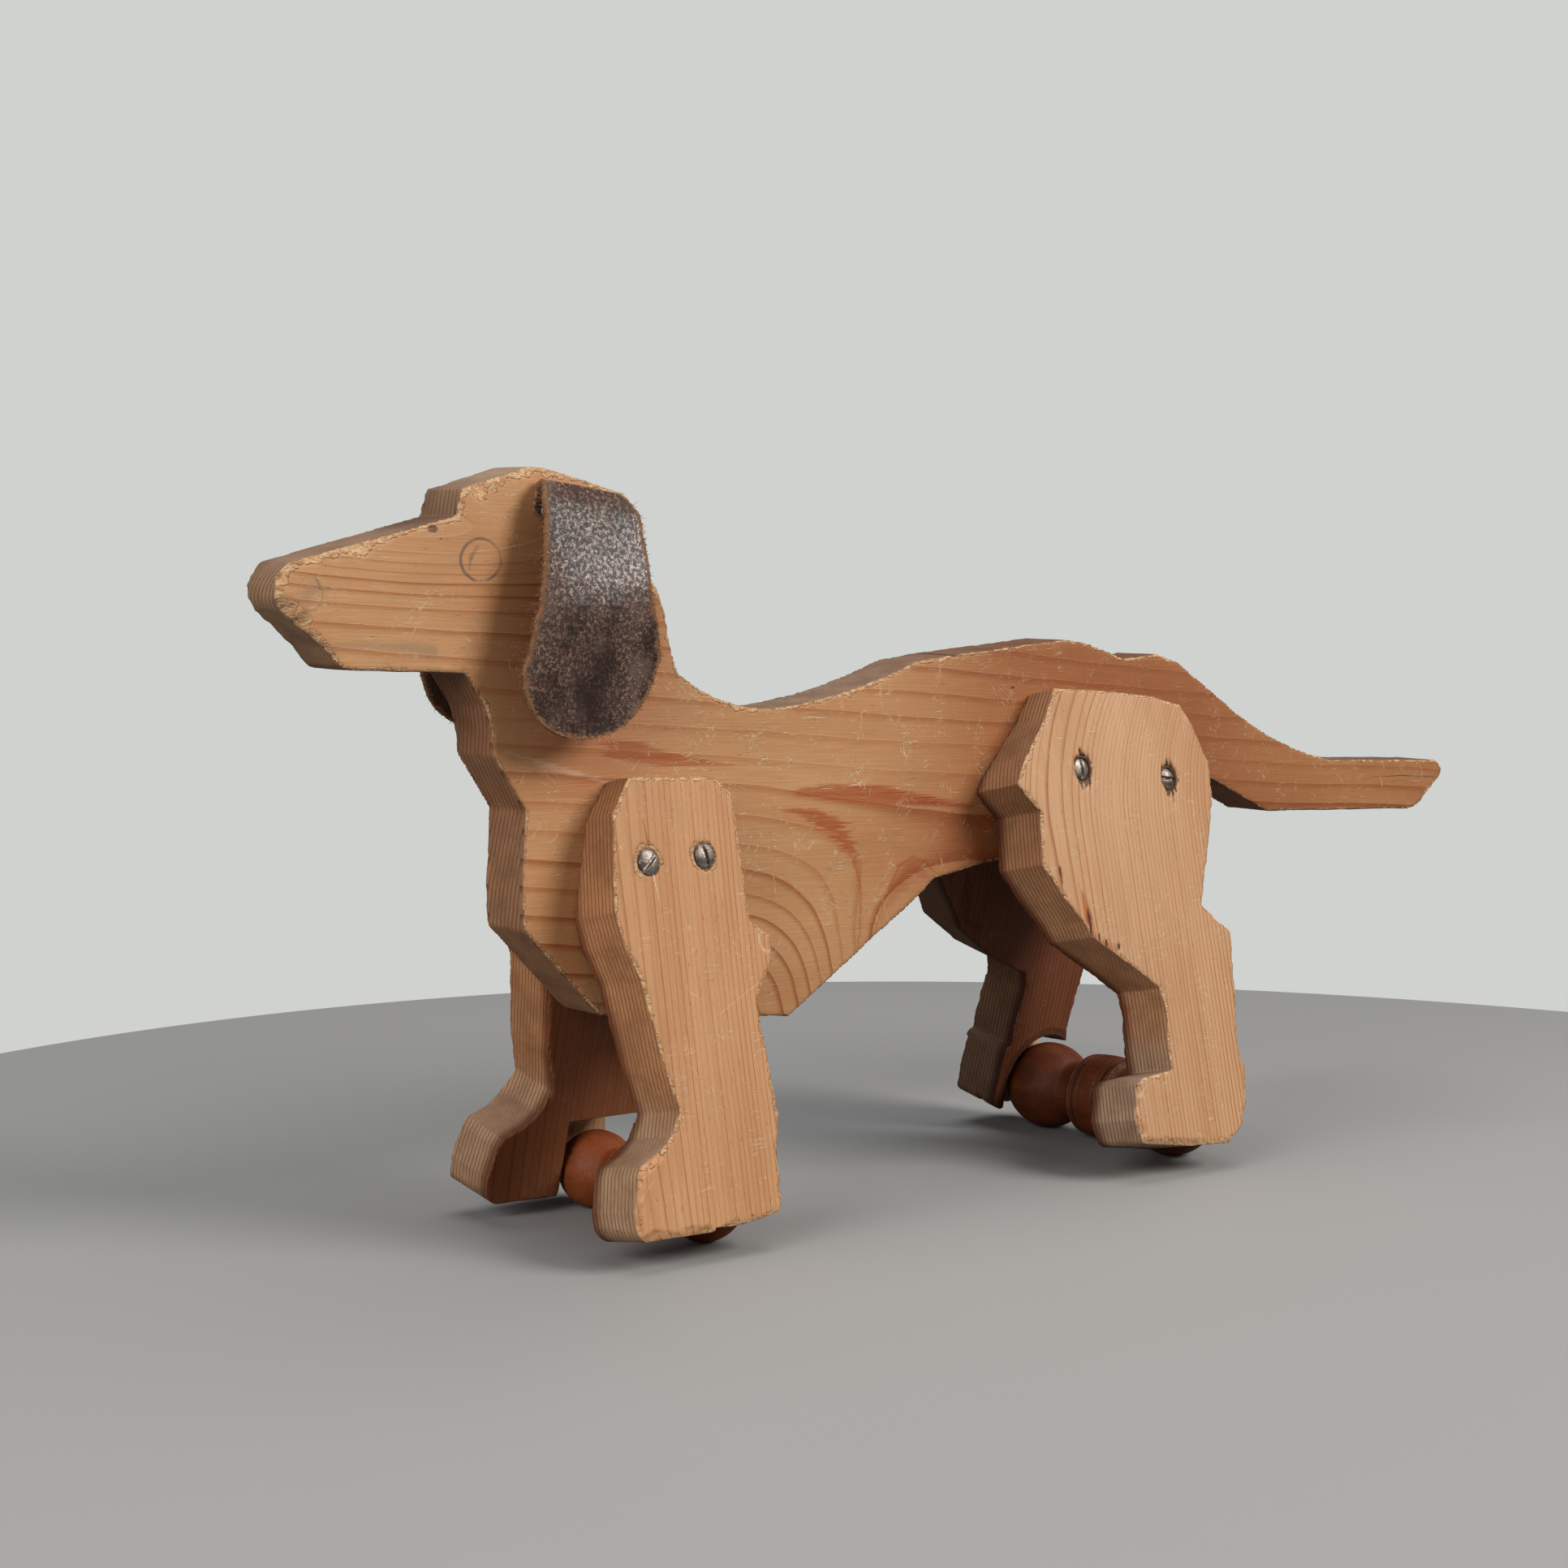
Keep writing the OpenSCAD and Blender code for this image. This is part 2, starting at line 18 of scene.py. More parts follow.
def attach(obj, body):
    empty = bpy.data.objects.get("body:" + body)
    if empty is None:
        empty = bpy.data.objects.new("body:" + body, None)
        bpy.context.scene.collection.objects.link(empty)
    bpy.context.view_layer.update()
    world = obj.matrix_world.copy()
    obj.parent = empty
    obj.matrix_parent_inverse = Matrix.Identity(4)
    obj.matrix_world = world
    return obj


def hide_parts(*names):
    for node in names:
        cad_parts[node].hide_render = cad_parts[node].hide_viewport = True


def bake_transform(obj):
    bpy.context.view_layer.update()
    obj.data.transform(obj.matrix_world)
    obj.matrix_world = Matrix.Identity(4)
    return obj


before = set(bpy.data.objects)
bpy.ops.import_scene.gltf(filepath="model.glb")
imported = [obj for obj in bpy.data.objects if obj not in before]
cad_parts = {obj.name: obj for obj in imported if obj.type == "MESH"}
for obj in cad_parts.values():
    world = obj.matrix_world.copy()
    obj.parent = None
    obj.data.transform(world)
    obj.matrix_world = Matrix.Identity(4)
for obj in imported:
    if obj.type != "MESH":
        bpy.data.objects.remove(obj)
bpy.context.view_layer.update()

MM = 0.001
scene = bpy.context.scene


def put_in_scene(name, data):
    """A new object in the scene."""
    made = bpy.data.objects.new(name, data)
    scene.collection.objects.link(made)
    return made


# %% [markdown]
# ## The camera
# A camera that matches a photograph is solved, not guessed: known lengths on the object give its place, its
# direction and its focal length. The result is written here as a place, three angles and a lens.

# %% The camera
PHOTO_SIDE_PX, FOCAL_PX = 1932, 3014.2
YAW, PITCH, ROLL = (math.radians(a) for a in (42.672, 3.724, -1.929))
CAMERA_PLACE = Vector((-597.1, -555.9, 180.3)) * MM


def make_camera():
    data = bpy.data.cameras.new("camera")
    data.sensor_width = 36
    data.lens = FOCAL_PX / PHOTO_SIDE_PX * data.sensor_width
    camera = put_in_scene("camera", data)
    turn = Euler((math.pi / 2 - PITCH, 0, -YAW)).to_matrix() @ Matrix.Rotation(-ROLL, 3, "Z")
    camera.matrix_world = Matrix.Translation(CAMERA_PLACE) @ turn.to_4x4()
    scene.camera = camera
    print("lens in mm:", round(data.lens, 2))


make_camera()

# %% [markdown]
# ## Wires: a short way to build shader nodes
# A material made of nodes is easier to read when each line of code says what one node does. A value here is a node's
# output, and plain arithmetic with values adds the math nodes. A tuple stands for a vector or a colour.

# %% A helper for shader nodes
class Value:
    """A node's output. Arithmetic with it adds math nodes."""

    def __init__(self, wires, socket):
        self.wires, self.socket = wires, socket

    def __abs__(self):
        return self.wires.calc("ABSOLUTE", self)


for name, operation in (("add", "ADD"), ("sub", "SUBTRACT"), ("mul", "MULTIPLY"), ("truediv", "DIVIDE")):
    setattr(Value, f"__{name}__", lambda a, b, operation=operation: a.wires.calc(operation, a, b))
    setattr(Value, f"__r{name}__", lambda a, b, operation=operation: a.wires.calc(operation, b, a))


class Wires:
    def __init__(self, tree):
        self.tree = tree

    def put(self, socket, value):
        if isinstance(value, Value):
            self.tree.links.new(value.socket, socket)
        elif socket.type == "RGBA":
            socket.default_value = (*value, 1)
        else:
            socket.default_value = value

    def fill(self, made, **values):
        """Gives a node's inputs their values by name, with _ for a space."""
        for name, value in values.items():
            self.put(made.inputs[name.replace("_", " ")], value)

    def node(self, kind, inputs=(), **settings):
        made = self.tree.nodes.new("ShaderNode" + kind)
        for name, value in settings.items():
            setattr(made, name, value)
        for name, value in dict(inputs).items():
            self.put(made.inputs[name], value)
        return made

    def out(self, kind, inputs=(), output=0, **settings):
        """An output of a new node."""
        return Value(self, self.node(kind, inputs, **settings).outputs[output])

    def read(self, name, output="Fac"):
        """A value that the mesh carries."""
        return self.out("Attribute", (), output, attribute_name=name)

    def place(self):
        """Each point's place in mm."""
        return self.out("TexCoord", (), "Object") * (1 / MM)

    def calc(self, operation, *values):
        """Maths on numbers, on vectors if there is one, or a product of colours."""
        kinds = [v.socket.type if isinstance(v, Value) else "VECTOR" if isinstance(v, tuple) else "" for v in values]
        if "RGBA" in kinds:
            return self.mix(1.0, *values, blend=operation)
        if "VECTOR" not in kinds:
            return self.out("Math", enumerate(values), operation=operation)
        if operation == "MULTIPLY" and kinds != ["VECTOR", "VECTOR"]:
            vector, scale = values if kinds[0] == "VECTOR" else reversed(values)
            return self.out("VectorMath", {0: vector, "Scale": scale}, operation="SCALE")
        output = "Value" if operation in ("DOT_PRODUCT", "LENGTH") else "Vector"
        return self.out("VectorMath", enumerate(values), output, operation=operation)

    def most(self, first, *others):
        for other in others:
            first = self.calc("MAXIMUM", first, other)
        return first

    def ramp(self, value, low, high, to_low=0.0, to_high=1.0, smooth=True):
        kind = "SMOOTHSTEP" if smooth else "LINEAR"
        return self.out("MapRange", enumerate((value, low, high, to_low, to_high)), interpolation_type=kind)

    def mix(self, factor, a, b, blend="MIX"):
        return self.out("Mix", {0: factor, 6: a, 7: b}, 2, data_type="RGBA", blend_type=blend)

    def stained(self, colour, *stains):
        """The colour under stains, each a mask and its colour."""
        for mask, stain in stains:
            colour = self.mix(mask, colour, stain)
        return colour

    def noise(self, vector, scale=1.0, detail=2.0, rough=0.5, warp=0.0):
        """Noise that is finer with a larger scale, which is one number or one for each direction."""
        if isinstance(scale, tuple):
            vector, scale = vector * scale, 1.0
        settings = {"Scale": scale, "Detail": detail, "Roughness": rough, "Distortion": warp}
        return self.out("TexNoise", {"Vector": vector, **settings})

    def split(self, vector):
        return [Value(self, socket) for socket in self.node("SeparateXYZ", {0: vector}).outputs]

    def join(self, x, y, z):
        return self.out("CombineXYZ", enumerate((x, y, z)))


def make_group(name, inputs, outputs, draw):
    """A shader node group. draw takes the wires and the inputs, adds the nodes and gives the outputs by name. The
    length of an input's default makes its kind: a number, a vector or a colour."""
    tree = bpy.data.node_groups.new(name, "ShaderNodeTree")
    for label, value in inputs.items():
        kind = {1: "Float", 3: "Vector", 4: "Color"}[len(value) if isinstance(value, tuple) else 1]
        tree.interface.new_socket(name=label, in_out="INPUT", socket_type="NodeSocket" + kind).default_value = value
    for label in outputs:
        kind = "Color" if label == "Colour" else "Float"
        tree.interface.new_socket(name=label, in_out="OUTPUT", socket_type="NodeSocket" + kind)
    w = Wires(tree)
    start = tree.nodes.new("NodeGroupInput")
    end = tree.nodes.new("NodeGroupOutput")
    given = {label.lower().replace(" ", "_"): Value(w, start.outputs[label]) for label in inputs}
    for label, value in draw(w, **given).items():
        w.put(end.inputs[label], value)
    print("group:", name, "with", len(tree.nodes), "nodes")
    return tree


SURFACE = ("Colour", "Roughness", "Height")
PRINCIPLED = "Principled BSDF"


def use_group(w, tree, **values):
    made = w.node("Group", node_tree=tree)
    w.fill(made, **values)
    return {socket.name: Value(w, socket) for socket in made.outputs}


def new_material(name):
    material = bpy.data.materials.new(name)
    material.use_nodes = True
    return material, Wires(material.node_tree)


def paint(mesh, material):
    mesh.materials.clear()
    mesh.materials.append(material)


def dress(w, surface, **plain):
    """Joins a group's colour, roughness and relief to the Principled shader, and sets its plain values."""
    colour, rough, height = (surface[name] for name in SURFACE)
    bump = w.out("Bump", {"Height": height, "Distance": MM, "Strength": 1.0})
    w.fill(w.tree.nodes[PRINCIPLED], Base_Color=colour, Roughness=rough, Normal=bump, **plain)


# %% [markdown]
# ## The studio
# The toy stands on a plain floor, round like a table top. Three soft lamps light it. The one in front and to the
# right acts as a window, so that the ears throw a soft shadow on the head. The one to the left acts as a pale wall
# and lights the sawn edges, and the one above keeps the top of the head and the back bright. The world fills the
# shadows a little. Its pale backdrop shows only to the camera, so that it adds no light, and the floor throws back
# less light than it shows.

# %% Lamps, world and floor
FLOOR_COLOUR, FLOOR_BOUNCE, BACKDROP_COLOUR = (0.34, 0.336, 0.33), (0.13, 0.125, 0.12), (0.63, 0.645, 0.63)
LOOK_AT = (0, 0, 0.1)


def make_world(fill):
    world = bpy.data.worlds.new("world")
    world.use_nodes = True
    world.node_tree.nodes.clear()
    w = Wires(world.node_tree)
    light = w.out("Background", {"Color": (0.92, 0.96, 1.0), "Strength": fill})
    shown = w.out("Background", {"Color": BACKDROP_COLOUR})
    seen = w.out("LightPath", (), "Is Camera Ray")
    w.node("OutputWorld", {0: w.out("MixShader", {0: seen, 1: light, 2: shown})})
    scene.world = world


def make_lamp(name, place, size, power, colour):
    """A round soft lamp. Its place and size are in metres and its power in watts."""
    data = bpy.data.lights.new(name, "AREA")
    data.shape, data.size, data.energy, data.color = "DISK", size, power, colour
    lamp = put_in_scene(name, data)
    lamp.location = place
    lamp.rotation_mode = "QUATERNION"
    lamp.rotation_quaternion = (Vector(LOOK_AT) - Vector(place)).to_track_quat("-Z", "Y")


def make_floor(middle, radius, around=256):
    mesh = bpy.data.meshes.new("floor")
    rim = [2 * math.pi * i / around for i in range(around)]
    rim = [(middle[0] + radius * math.cos(t), middle[1] + radius * math.sin(t), 0) for t in rim]
    mesh.from_pydata(rim, [], [tuple(range(around))])
    material, w = new_material("floor")
    seen = w.mix(w.out("LightPath", (), "Is Camera Ray"), FLOOR_BOUNCE, FLOOR_COLOUR)
    w.fill(w.tree.nodes[PRINCIPLED], Base_Color=seen, Roughness=0.7)
    paint(mesh, material)
    put_in_scene("floor", mesh)


scene.view_settings.view_transform = "Standard"
make_world(fill=0.06)
make_lamp("window", (0.74, -1.20, 1.10), 0.9, 26, (1.0, 0.975, 0.93))
make_lamp("pale wall", (-1.35, -0.30, 0.62), 0.9, 12, (1.0, 0.98, 0.96))
make_lamp("ceiling", (0.0, 0.15, 1.7), 1.5, 13, (0.96, 0.98, 1.0))
make_floor(middle=(0.013, -0.168), radius=0.559)

# %% [markdown]
# ## Sawn boards with worn, chipped edges
# The CAD board has knife-sharp edges and dead flat faces. A sawn and much handled board hasn't. Its edges are
# rounded by hands, chips have split off along the face, and the saw has wandered. A bevel modifier gives one even
# round, so it can't do this. Instead the solid is remeshed into small equal squares, each point is put back on the
# solid, and then every point near a sharp edge is cut back: to a small plane whose size changes along the edge
# where a face meets a sawn side, and to a round where two sawn sides meet.

# %% Find a solid's sharp edges
SHARP_DEG = 22
EDGE_STEP = 0.4 * MM
FLAT_COSINE = 0.99
WELD = 0.002 * MM


def welded(node):
    """The CAD solid as one closed bmesh."""
    solid = bmesh.new()
    solid.from_mesh(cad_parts[node].data)
    bmesh.ops.remove_doubles(solid, verts=solid.verts, dist=WELD)
    solid.normal_update()
    return solid


def sharp_points(solid, face_normals):
    """Points along the outward sharp edges: place, both normals (a broad face's first), whether one is a face's."""
    found = []
    for edge in solid.edges:
        if len(edge.link_faces) != 2:
            continue
        one, two = edge.link_faces
        if one.normal.angle(two.normal, 0) < math.radians(SHARP_DEG):
            continue
        if (two.calc_center_median() - edge.verts[0].co).dot(one.normal) > 0:
            continue
        a, b = one.normal.copy(), two.normal.copy()
        on_face = [max(n.dot(f) for f in face_normals) > FLAT_COSINE for n in (a, b)]
        if on_face[1] and not on_face[0]:
            a, b = b, a
        start, end = (v.co.copy() for v in edge.verts)
        count = max(1, round((end - start).length / EDGE_STEP))
        found += [(start.lerp(end, (i + 0.5) / count), a, b, any(on_face)) for i in range(count)]
    return found


# %% Make a worn board
# What each point carries: how worn, sawn and torn it is, how well a side shows its rings, and how far it faces up
MASKS = ("worn", "sawn", "torn", "lined", "upward")
CORNER_REACH, CHIP_REACH = 11 * MM, 9 * MM


def modified(mesh, kind, **settings):
    """A new mesh: the mesh after one modifier."""
    helper = put_in_scene("helper", mesh)
    modifier = helper.modifiers.new("modifier", kind)
    for name, value in settings.items():
        setattr(modifier, name, value)
    made = bpy.data.meshes.new_from_object(helper.evaluated_get(bpy.context.evaluated_depsgraph_get()))
    bpy.data.objects.remove(helper)
    return made


def remeshed(solid, name, voxel):
    """A new mesh of nearly equal squares over the solid."""
    mesh = bpy.data.meshes.new(name)
    solid.to_mesh(mesh)
    made = modified(mesh, "REMESH", mode="VOXEL", voxel_size=voxel)
    bpy.data.meshes.remove(mesh)
    made.name = name
    return made


def wander(place, size, seed):
    """Smooth noise from -1 to 1 whose waves are about size mm long."""
    return noise.noise(place / (size * MM) + Vector((seed, 1.7 * seed, -seed)))


def add_piece(name, mesh, body, material, nodes=()):
    piece = put_in_scene(name, mesh)
    paint(mesh, material)
    if body:
        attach(piece, body)
    if nodes:
        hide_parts(*nodes)
    return piece


def chip_plane(a, b, reach, deep):
    """The plane that cuts an edge back by reach over the face with normal a and by deep over the other."""
    cut = b / reach + a / deep
    return cut.normalized(), MM / cut.length


def round_off(place, edge_place, a, b, radius):
    """The place moved onto a round of this radius between two walls, and how far it moved."""
    cosine = a.dot(b)
    middle = edge_place - (a + b) * (radius / (1 + cosine))
    off = place - middle
    if off.dot(b - a * cosine) <= 0 or off.dot(a - b * cosine) <= 0:
        return place, 0.0
    along = a.cross(b).normalized()
    off -= along * off.dot(along)
    over = max(0.0, off.length - radius)
    return place - off.normalized() * over, over


def clamp(value):
    return min(1.0, max(0.0, value))


def worn_mesh(node, name, face_normals, voxel, chip, rounding, saw, seed, carve=None):
    """The board as a fine mesh. chip(place, normal) gives how far chips reach over a face, in mm, and how pale they
    are. rounding(place) gives the radius in mm of an edge between two sawn sides and how pale it is worn. saw is how
    far the saw wandered and carve(place) gives the depth of torn wood, both in mm."""
    solid = welded(node)
    tree = BVHTree.FromBMesh(solid)
    edges = sharp_points(solid, face_normals)
    near, corners = KDTree(len(edges)), KDTree(len(edges))
    cuts = []
    for i, (place, a, b, on_face) in enumerate(edges):
        (near if on_face else corners).insert(place, i)
        if on_face:
            reach, pale = chip(place, a)
            deep = reach * (0.42 + 0.15 * wander(place, 7, seed + 3))
            cuts.append((place, *chip_plane(a, b, reach, deep), pale * clamp((reach - 0.45) / 0.4)))
        else:
            radius, pale = rounding(place)
            cuts.append((place, a, b, radius * MM, pale))
    near.balance()
    corners.balance()
    mesh = remeshed(solid, name, voxel)
    masks = []
    for vertex in mesh.vertices:
        place, normal = tree.find_nearest(vertex.co)[:2]
        flat = max(normal.dot(f) for f in face_normals) > FLAT_COSINE
        far = near.find(place)[2]
        tear = carve(place) if carve and flat and normal.z > 0.05 else 0.0
        if flat:
            place = place - normal * MM * (0.05 * (1 + wander(place, 28, seed)) + tear)
        else:
            ridge = saw * (wander(place, 9, seed + 5) + 0.4 * wander(place, 2.6, seed + 8) - 0.7)
            place = place + normal * MM * ridge * clamp(far / (0.8 * MM))
        _, number, beside = corners.find(place)
        wear = 0.0
        if beside < CORNER_REACH:
            corner, a, b, radius, pale = cuts[number]
            place, over = round_off(place, corner, a, b, radius)
            wear = min(pale, over / (0.25 * MM))
        _, number, far = near.find(place)
        if far < CHIP_REACH:
            cut_place, cut, size, pale = cuts[number]
            over = (place - cut_place).dot(cut) + size
            rough = 0.16 * wander(place, 1.1, seed + 11) + 0.34 * wander(place, 2.7, seed + 13)
            over += MM * rough * clamp(size / (0.9 * MM))
            if over > 0:
                place = place - cut * over
            wear = max(wear, pale * clamp(0.5 + over / (0.35 * MM)))
        lined = clamp(0.12 + 2.2 * (1 - abs(normal.z)))
        masks.append((wear, 0.0 if flat else 1.0, clamp(tear / 0.6), lined, max(0.0, normal.z)))
        vertex.co = place
    for label, values in zip(MASKS, zip(*masks)):
        mesh.attributes.new(label, "FLOAT", "POINT").data.foreach_set("value", values)
    mesh.shade_smooth()
    solid.free()
    print(name, "has", len(mesh.polygons), "squares and", len(edges), "edge points")
    return mesh


# %% [markdown]
# ## Pine
# Pine shows its year rings: a broad pale band that grew in spring, and a thin dark one that grew in summer and
# ends sharply. A ring is a shell round the tree's middle, so on a board it is drawn by a count that changes through
# the solid: wherever the count passes a whole number, a ring ends. The same count colours the face, the sawn sides
# and the end grain, so the lines meet round each corner. One group draws rings from the count, one draws the fine
# fibres, one draws scuffs, and one mixes them with the worn and sawn places that the mesh carries. Sawn sides are
# dull and grimy, show their rings only where the saw cut across them, and are dusty where they face up.

# %% Group: year rings
def draw_rings(w, count, late_share, softness):
    part = w.calc("FRACT", count)
    rise = w.ramp(part, 0.97 - late_share - softness, 0.95)
    fall = w.ramp(part, 0.965, 1.0, 1.0, 0.0)
    tone = w.out("TexWhiteNoise", {"W": w.calc("FLOOR", count)}, "Value", noise_dimensions="1D")
    return {"Latewood": w.calc("POWER", rise, 1.6) * fall, "Tone": tone}


RINGS = make_group("Year rings", {"Count": 0.0, "Late share": 0.3, "Softness": 0.35}, ("Latewood", "Tone"), draw_rings)


# %% Group: wood fibres
def draw_fibres(w, along):
    """Noise drawn out along the fibres: fine fibres, short dark flecks and wide patches."""
    return {
        "Fibre": w.noise(along, (0.045, 1.9, 1.9), 4.0, 0.6),
        "Fleck": w.ramp(w.noise(along, (0.35, 1.6, 1.6), 1.0), 0.70, 0.78),
        "Patch": w.ramp(w.noise(along, (0.012, 0.035, 0.035), 3.0), 0.3, 0.7),
    }


FIBRES = make_group("Wood fibres", {"Along": (0.0, 0.0, 0.0)}, ("Fibre", "Fleck", "Patch"), draw_fibres)

# %% Group: scuffs
# Scratches: their turn in radians, how fine they are along and across, and a seed
SCRATCHES = ((0.15, (0.09, 0.8, 0.8), 3.0), (0.9, (0.13, 0.6, 0.6), 11.0), (0.02, (0.05, 1.3, 1.3), 51.0),
             (-0.6, (0.14, 0.7, 0.7), 23.0), (-1.3, (0.12, 0.7, 0.7), 37.0))


def draw_scuffs(w, place, amount):
    """Dents, and scratches where stretched noise passes its middle value."""
    found = w.ramp(w.noise(place, (0.33, 1.2, 1.5)), 0.71, 0.77, 0.0, 0.7)
    for turn, fine, seed in SCRATCHES:
        rotated = w.out("VectorRotate", {"Vector": place, "Angle": turn}, rotation_type="Y_AXIS")
        line = w.ramp(abs(w.noise(rotated * fine + (seed, seed, seed), 1.0, 1.0) - 0.5), 0.0, 0.028, 1.0, 0.0)
        found = w.most(found, line * w.ramp(w.noise(place * 0.09 + (seed, 0, seed)), 0.57, 0.70))
    return {"Scuff": found * amount}


SCUFFS = make_group("Scuffs", {"Place": (0.0, 0.0, 0.0), "Amount": 1.0}, ("Scuff",), draw_scuffs)


# %% Group: pine surface
def draw_pine(
    w, place, latewood, tone, fibre, fleck, patch, scuff, worn, sawn, torn, lined, upward, streak, dark, pale, pencil,
    smudge, ring_depth, saw_colour, tint_colour,
):
    depth = ring_depth * w.ramp(tone, 0.0, 1.0, 1.0, 0.5, smooth=False)
    colour = w.stained(
        (0.63, 0.325, 0.150),
        (patch, (0.54, 0.252, 0.104)),
        (tone * 0.35, (0.66, 0.37, 0.185)),
        (latewood * depth, w.mix(tone, (0.36, 0.100, 0.027), (0.45, 0.155, 0.046))),
        (streak * w.ramp(fibre, 0.3, 0.62, 1.0, 0.7), (0.42, 0.092, 0.020)),
    )
    shade = w.ramp(fibre, 0.25, 0.75, 0.86, 1.12, smooth=False)
    shade = w.join(shade, shade, shade)
    colour = w.mix(fleck * 0.35, colour * shade, (0.22, 0.09, 0.04))

    grime = w.ramp(w.noise(place, 0.09, 4.0, 0.6), 0.35, 0.7)
    dust = w.ramp(upward, 0.5, 0.8)
    lines = latewood * lined * w.ramp(grime, 0.2, 1.0, 0.95, 0.6) * w.ramp(dust, 0.0, 1.0, 1.0, 0.35)
    shades = (0.60, 0.56, 0.55), (0.36, 0.29, 0.25), (0.74, 0.74, 0.78)
    for mask, darker in zip((grime * 0.8, lines, dust * 0.8), shades):
        saw_colour = w.mix(mask, saw_colour, saw_colour * darker)
    colour = w.mix(w.ramp(sawn + (fibre - 0.5) * 0.5, 0.35, 0.65) * 0.92, colour, saw_colour * shade)

    chip_at = w.noise(place, (0.42, 0.5, 0.75), 3.0, 0.55, 1.3)
    chipped = w.ramp(worn + (chip_at - 0.5) * 1.1, 0.50, 0.70)
    fresh = w.mix(w.ramp(chip_at, 0.42, 0.62), (0.72, 0.46, 0.255), (0.47, 0.235, 0.105))
    hollow = w.most(w.ramp(torn + (fibre - 0.5) * 0.9, 0.3, 0.6), dark)
    # the tint colour also carries the painted shade of some boards
    colour = w.stained(
        colour * tint_colour,
        (chipped * 0.85, fresh),
        (scuff * w.ramp(sawn, 0.0, 1.0, 0.5, 0.18), (0.80, 0.60, 0.38)),
        (smudge * 0.45, (0.26, 0.19, 0.12)),
        (pencil * 0.8, (0.13, 0.09, 0.07)),
        (hollow * 0.9, (0.075, 0.030, 0.015)),
        (pale, (0.82, 0.58, 0.40)),
    )
    relief = latewood * 0.05 + fibre * 0.06 + lines * sawn * 0.12 + chip_at * chipped * 0.9
    for mask, deep in ((scuff, 0.06), (fleck, 0.05), (pale, 0.1), (dark, 0.25), (torn, 0.1)):
        relief = relief - mask * deep
    rough = w.most(sawn, chipped) * 0.22 + 0.50 + fibre * 0.08
    return {"Colour": colour, "Roughness": rough, "Height": relief}


PINE = make_group(
    "Pine surface",
    {
        "Place": (0.0, 0.0, 0.0), "Latewood": 0.0, "Tone": 0.5, "Fibre": 0.5, "Fleck": 0.0, "Patch": 0.5, "Scuff": 0.0,
        **{name.title(): 0.0 for name in (*MASKS, "streak", "dark", "pale", "pencil", "smudge")},
        "Ring depth": 1.0, "Saw colour": (0.4, 0.22, 0.12, 1.0), "Tint colour": (1.0, 1.0, 1.0, 1.0),
    },
    SURFACE, draw_pine,
)

# %% [markdown]
# ## One pine material for each board
# Each board was cut from another place in the tree, so each has its own count. It is a slope through the solid,
# in rings per millimetre, plus a few soft bumps where the rings bulge towards a knot. The count also drifts a
# little along the grain, as the tree grew unevenly. The rings of a leg bend over near its top, and a thin board's
# rings don't change in its outermost skin, so that rounding an edge doesn't move them.

# %% A board's material
def spot(w, place, centre, size):
    """1 at the centre, falling softly to 0 at about twice the size."""
    off = (place - centre) / size
    return w.calc("EXPONENT", w.calc("DOT_PRODUCT", off, off) * -1.0)


def pine_material(name, grain, slope, start, bumps, drift, late, soft, extra, half=100, bend=(500, 0)):
    """grain holds three directions: along the fibres, across the face, through the board. The rings are counted by a
    slope from a start, some bumps (centre, size, height) and a slow drift. They don't change outside of half, the
    board's half thickness where it is thinnest. Above height bend[0] they curve towards +X at the rate bend[1].
    extra gives masks and colours."""
    material, w = new_material(name)
    place = w.place()
    along = w.join(*(w.calc("DOT_PRODUCT", place, tuple(d)) for d in grain))
    x, y, z = w.split(place)
    above = w.most(z - bend[0], 0.0)
    inside = w.join(x - above * above * bend[1], w.ramp(y, -half, half, -half, half, smooth=False), z)
    count = w.calc("DOT_PRODUCT", inside, slope) + start
    for centre, size, height in bumps:
        count = count + spot(w, inside, centre, size) * height
    count = count + (w.noise(along, (0.011, 0.03, 0.03)) - 0.5) * drift
    given = extra(w, place)
    parts = {
        **use_group(w, RINGS, Count=count, Late_share=late, Softness=soft), **use_group(w, FIBRES, Along=along),
        **use_group(w, SCUFFS, Place=place, Amount=given.pop("Amount")), **{n.title(): w.read(n) for n in MASKS},
    }
    dress(w, use_group(w, PINE, Place=place, **parts, **given), Specular_IOR_Level=0.35)
    return material


# %% [markdown]
# ## The body board
# Head, trunk and tail are one board with its fibres running from nose to tail. The face rings were followed and
# written as a slope with soft bumps. The red streaks are resin. The maker also drew on the wood: a ring for the
# eye and one for the nose, pressed in with a punch and a pencil. The mouth has worn away to a smudge.

# %% Marks on the body
EYE, NOSE = (-207.5, 195.1), (-260.1, 184.1)
BODY_BUMPS = (((-95, 0, 72.2), (43.8, 1e4, 25.7), -5.05), ((-27.2, 0, 65.9), (90, 1e4, 35.9), 10.7),
              ((-235, 0, 201), (70, 1e4, 13), 4.0))


def oval_line(w, place, centre, half, thick, least=0.15, seed=0.0):
    """A hand-drawn oval as a mask. half is its half width and height, thick its line in mm."""
    x, _, z = w.split(place - (centre[0], 0, centre[1]))
    wobble = w.noise(place * (0.16, 0, 0.16) + (seed, 0, 0)) - 0.5
    q = w.calc("LENGTH", w.join(x / half[0], 0.0, z / half[1])) + wobble * 0.12
    line = w.ramp(abs(q - 1.0) * (sum(half) / 2), 0.2 * thick, 0.8 * thick, 1.0, 0.0)
    return line * w.ramp(w.noise(place * (0.2, 0, 0.2) + (0, 0, seed)), 0.35, 0.55, least, 1.0)


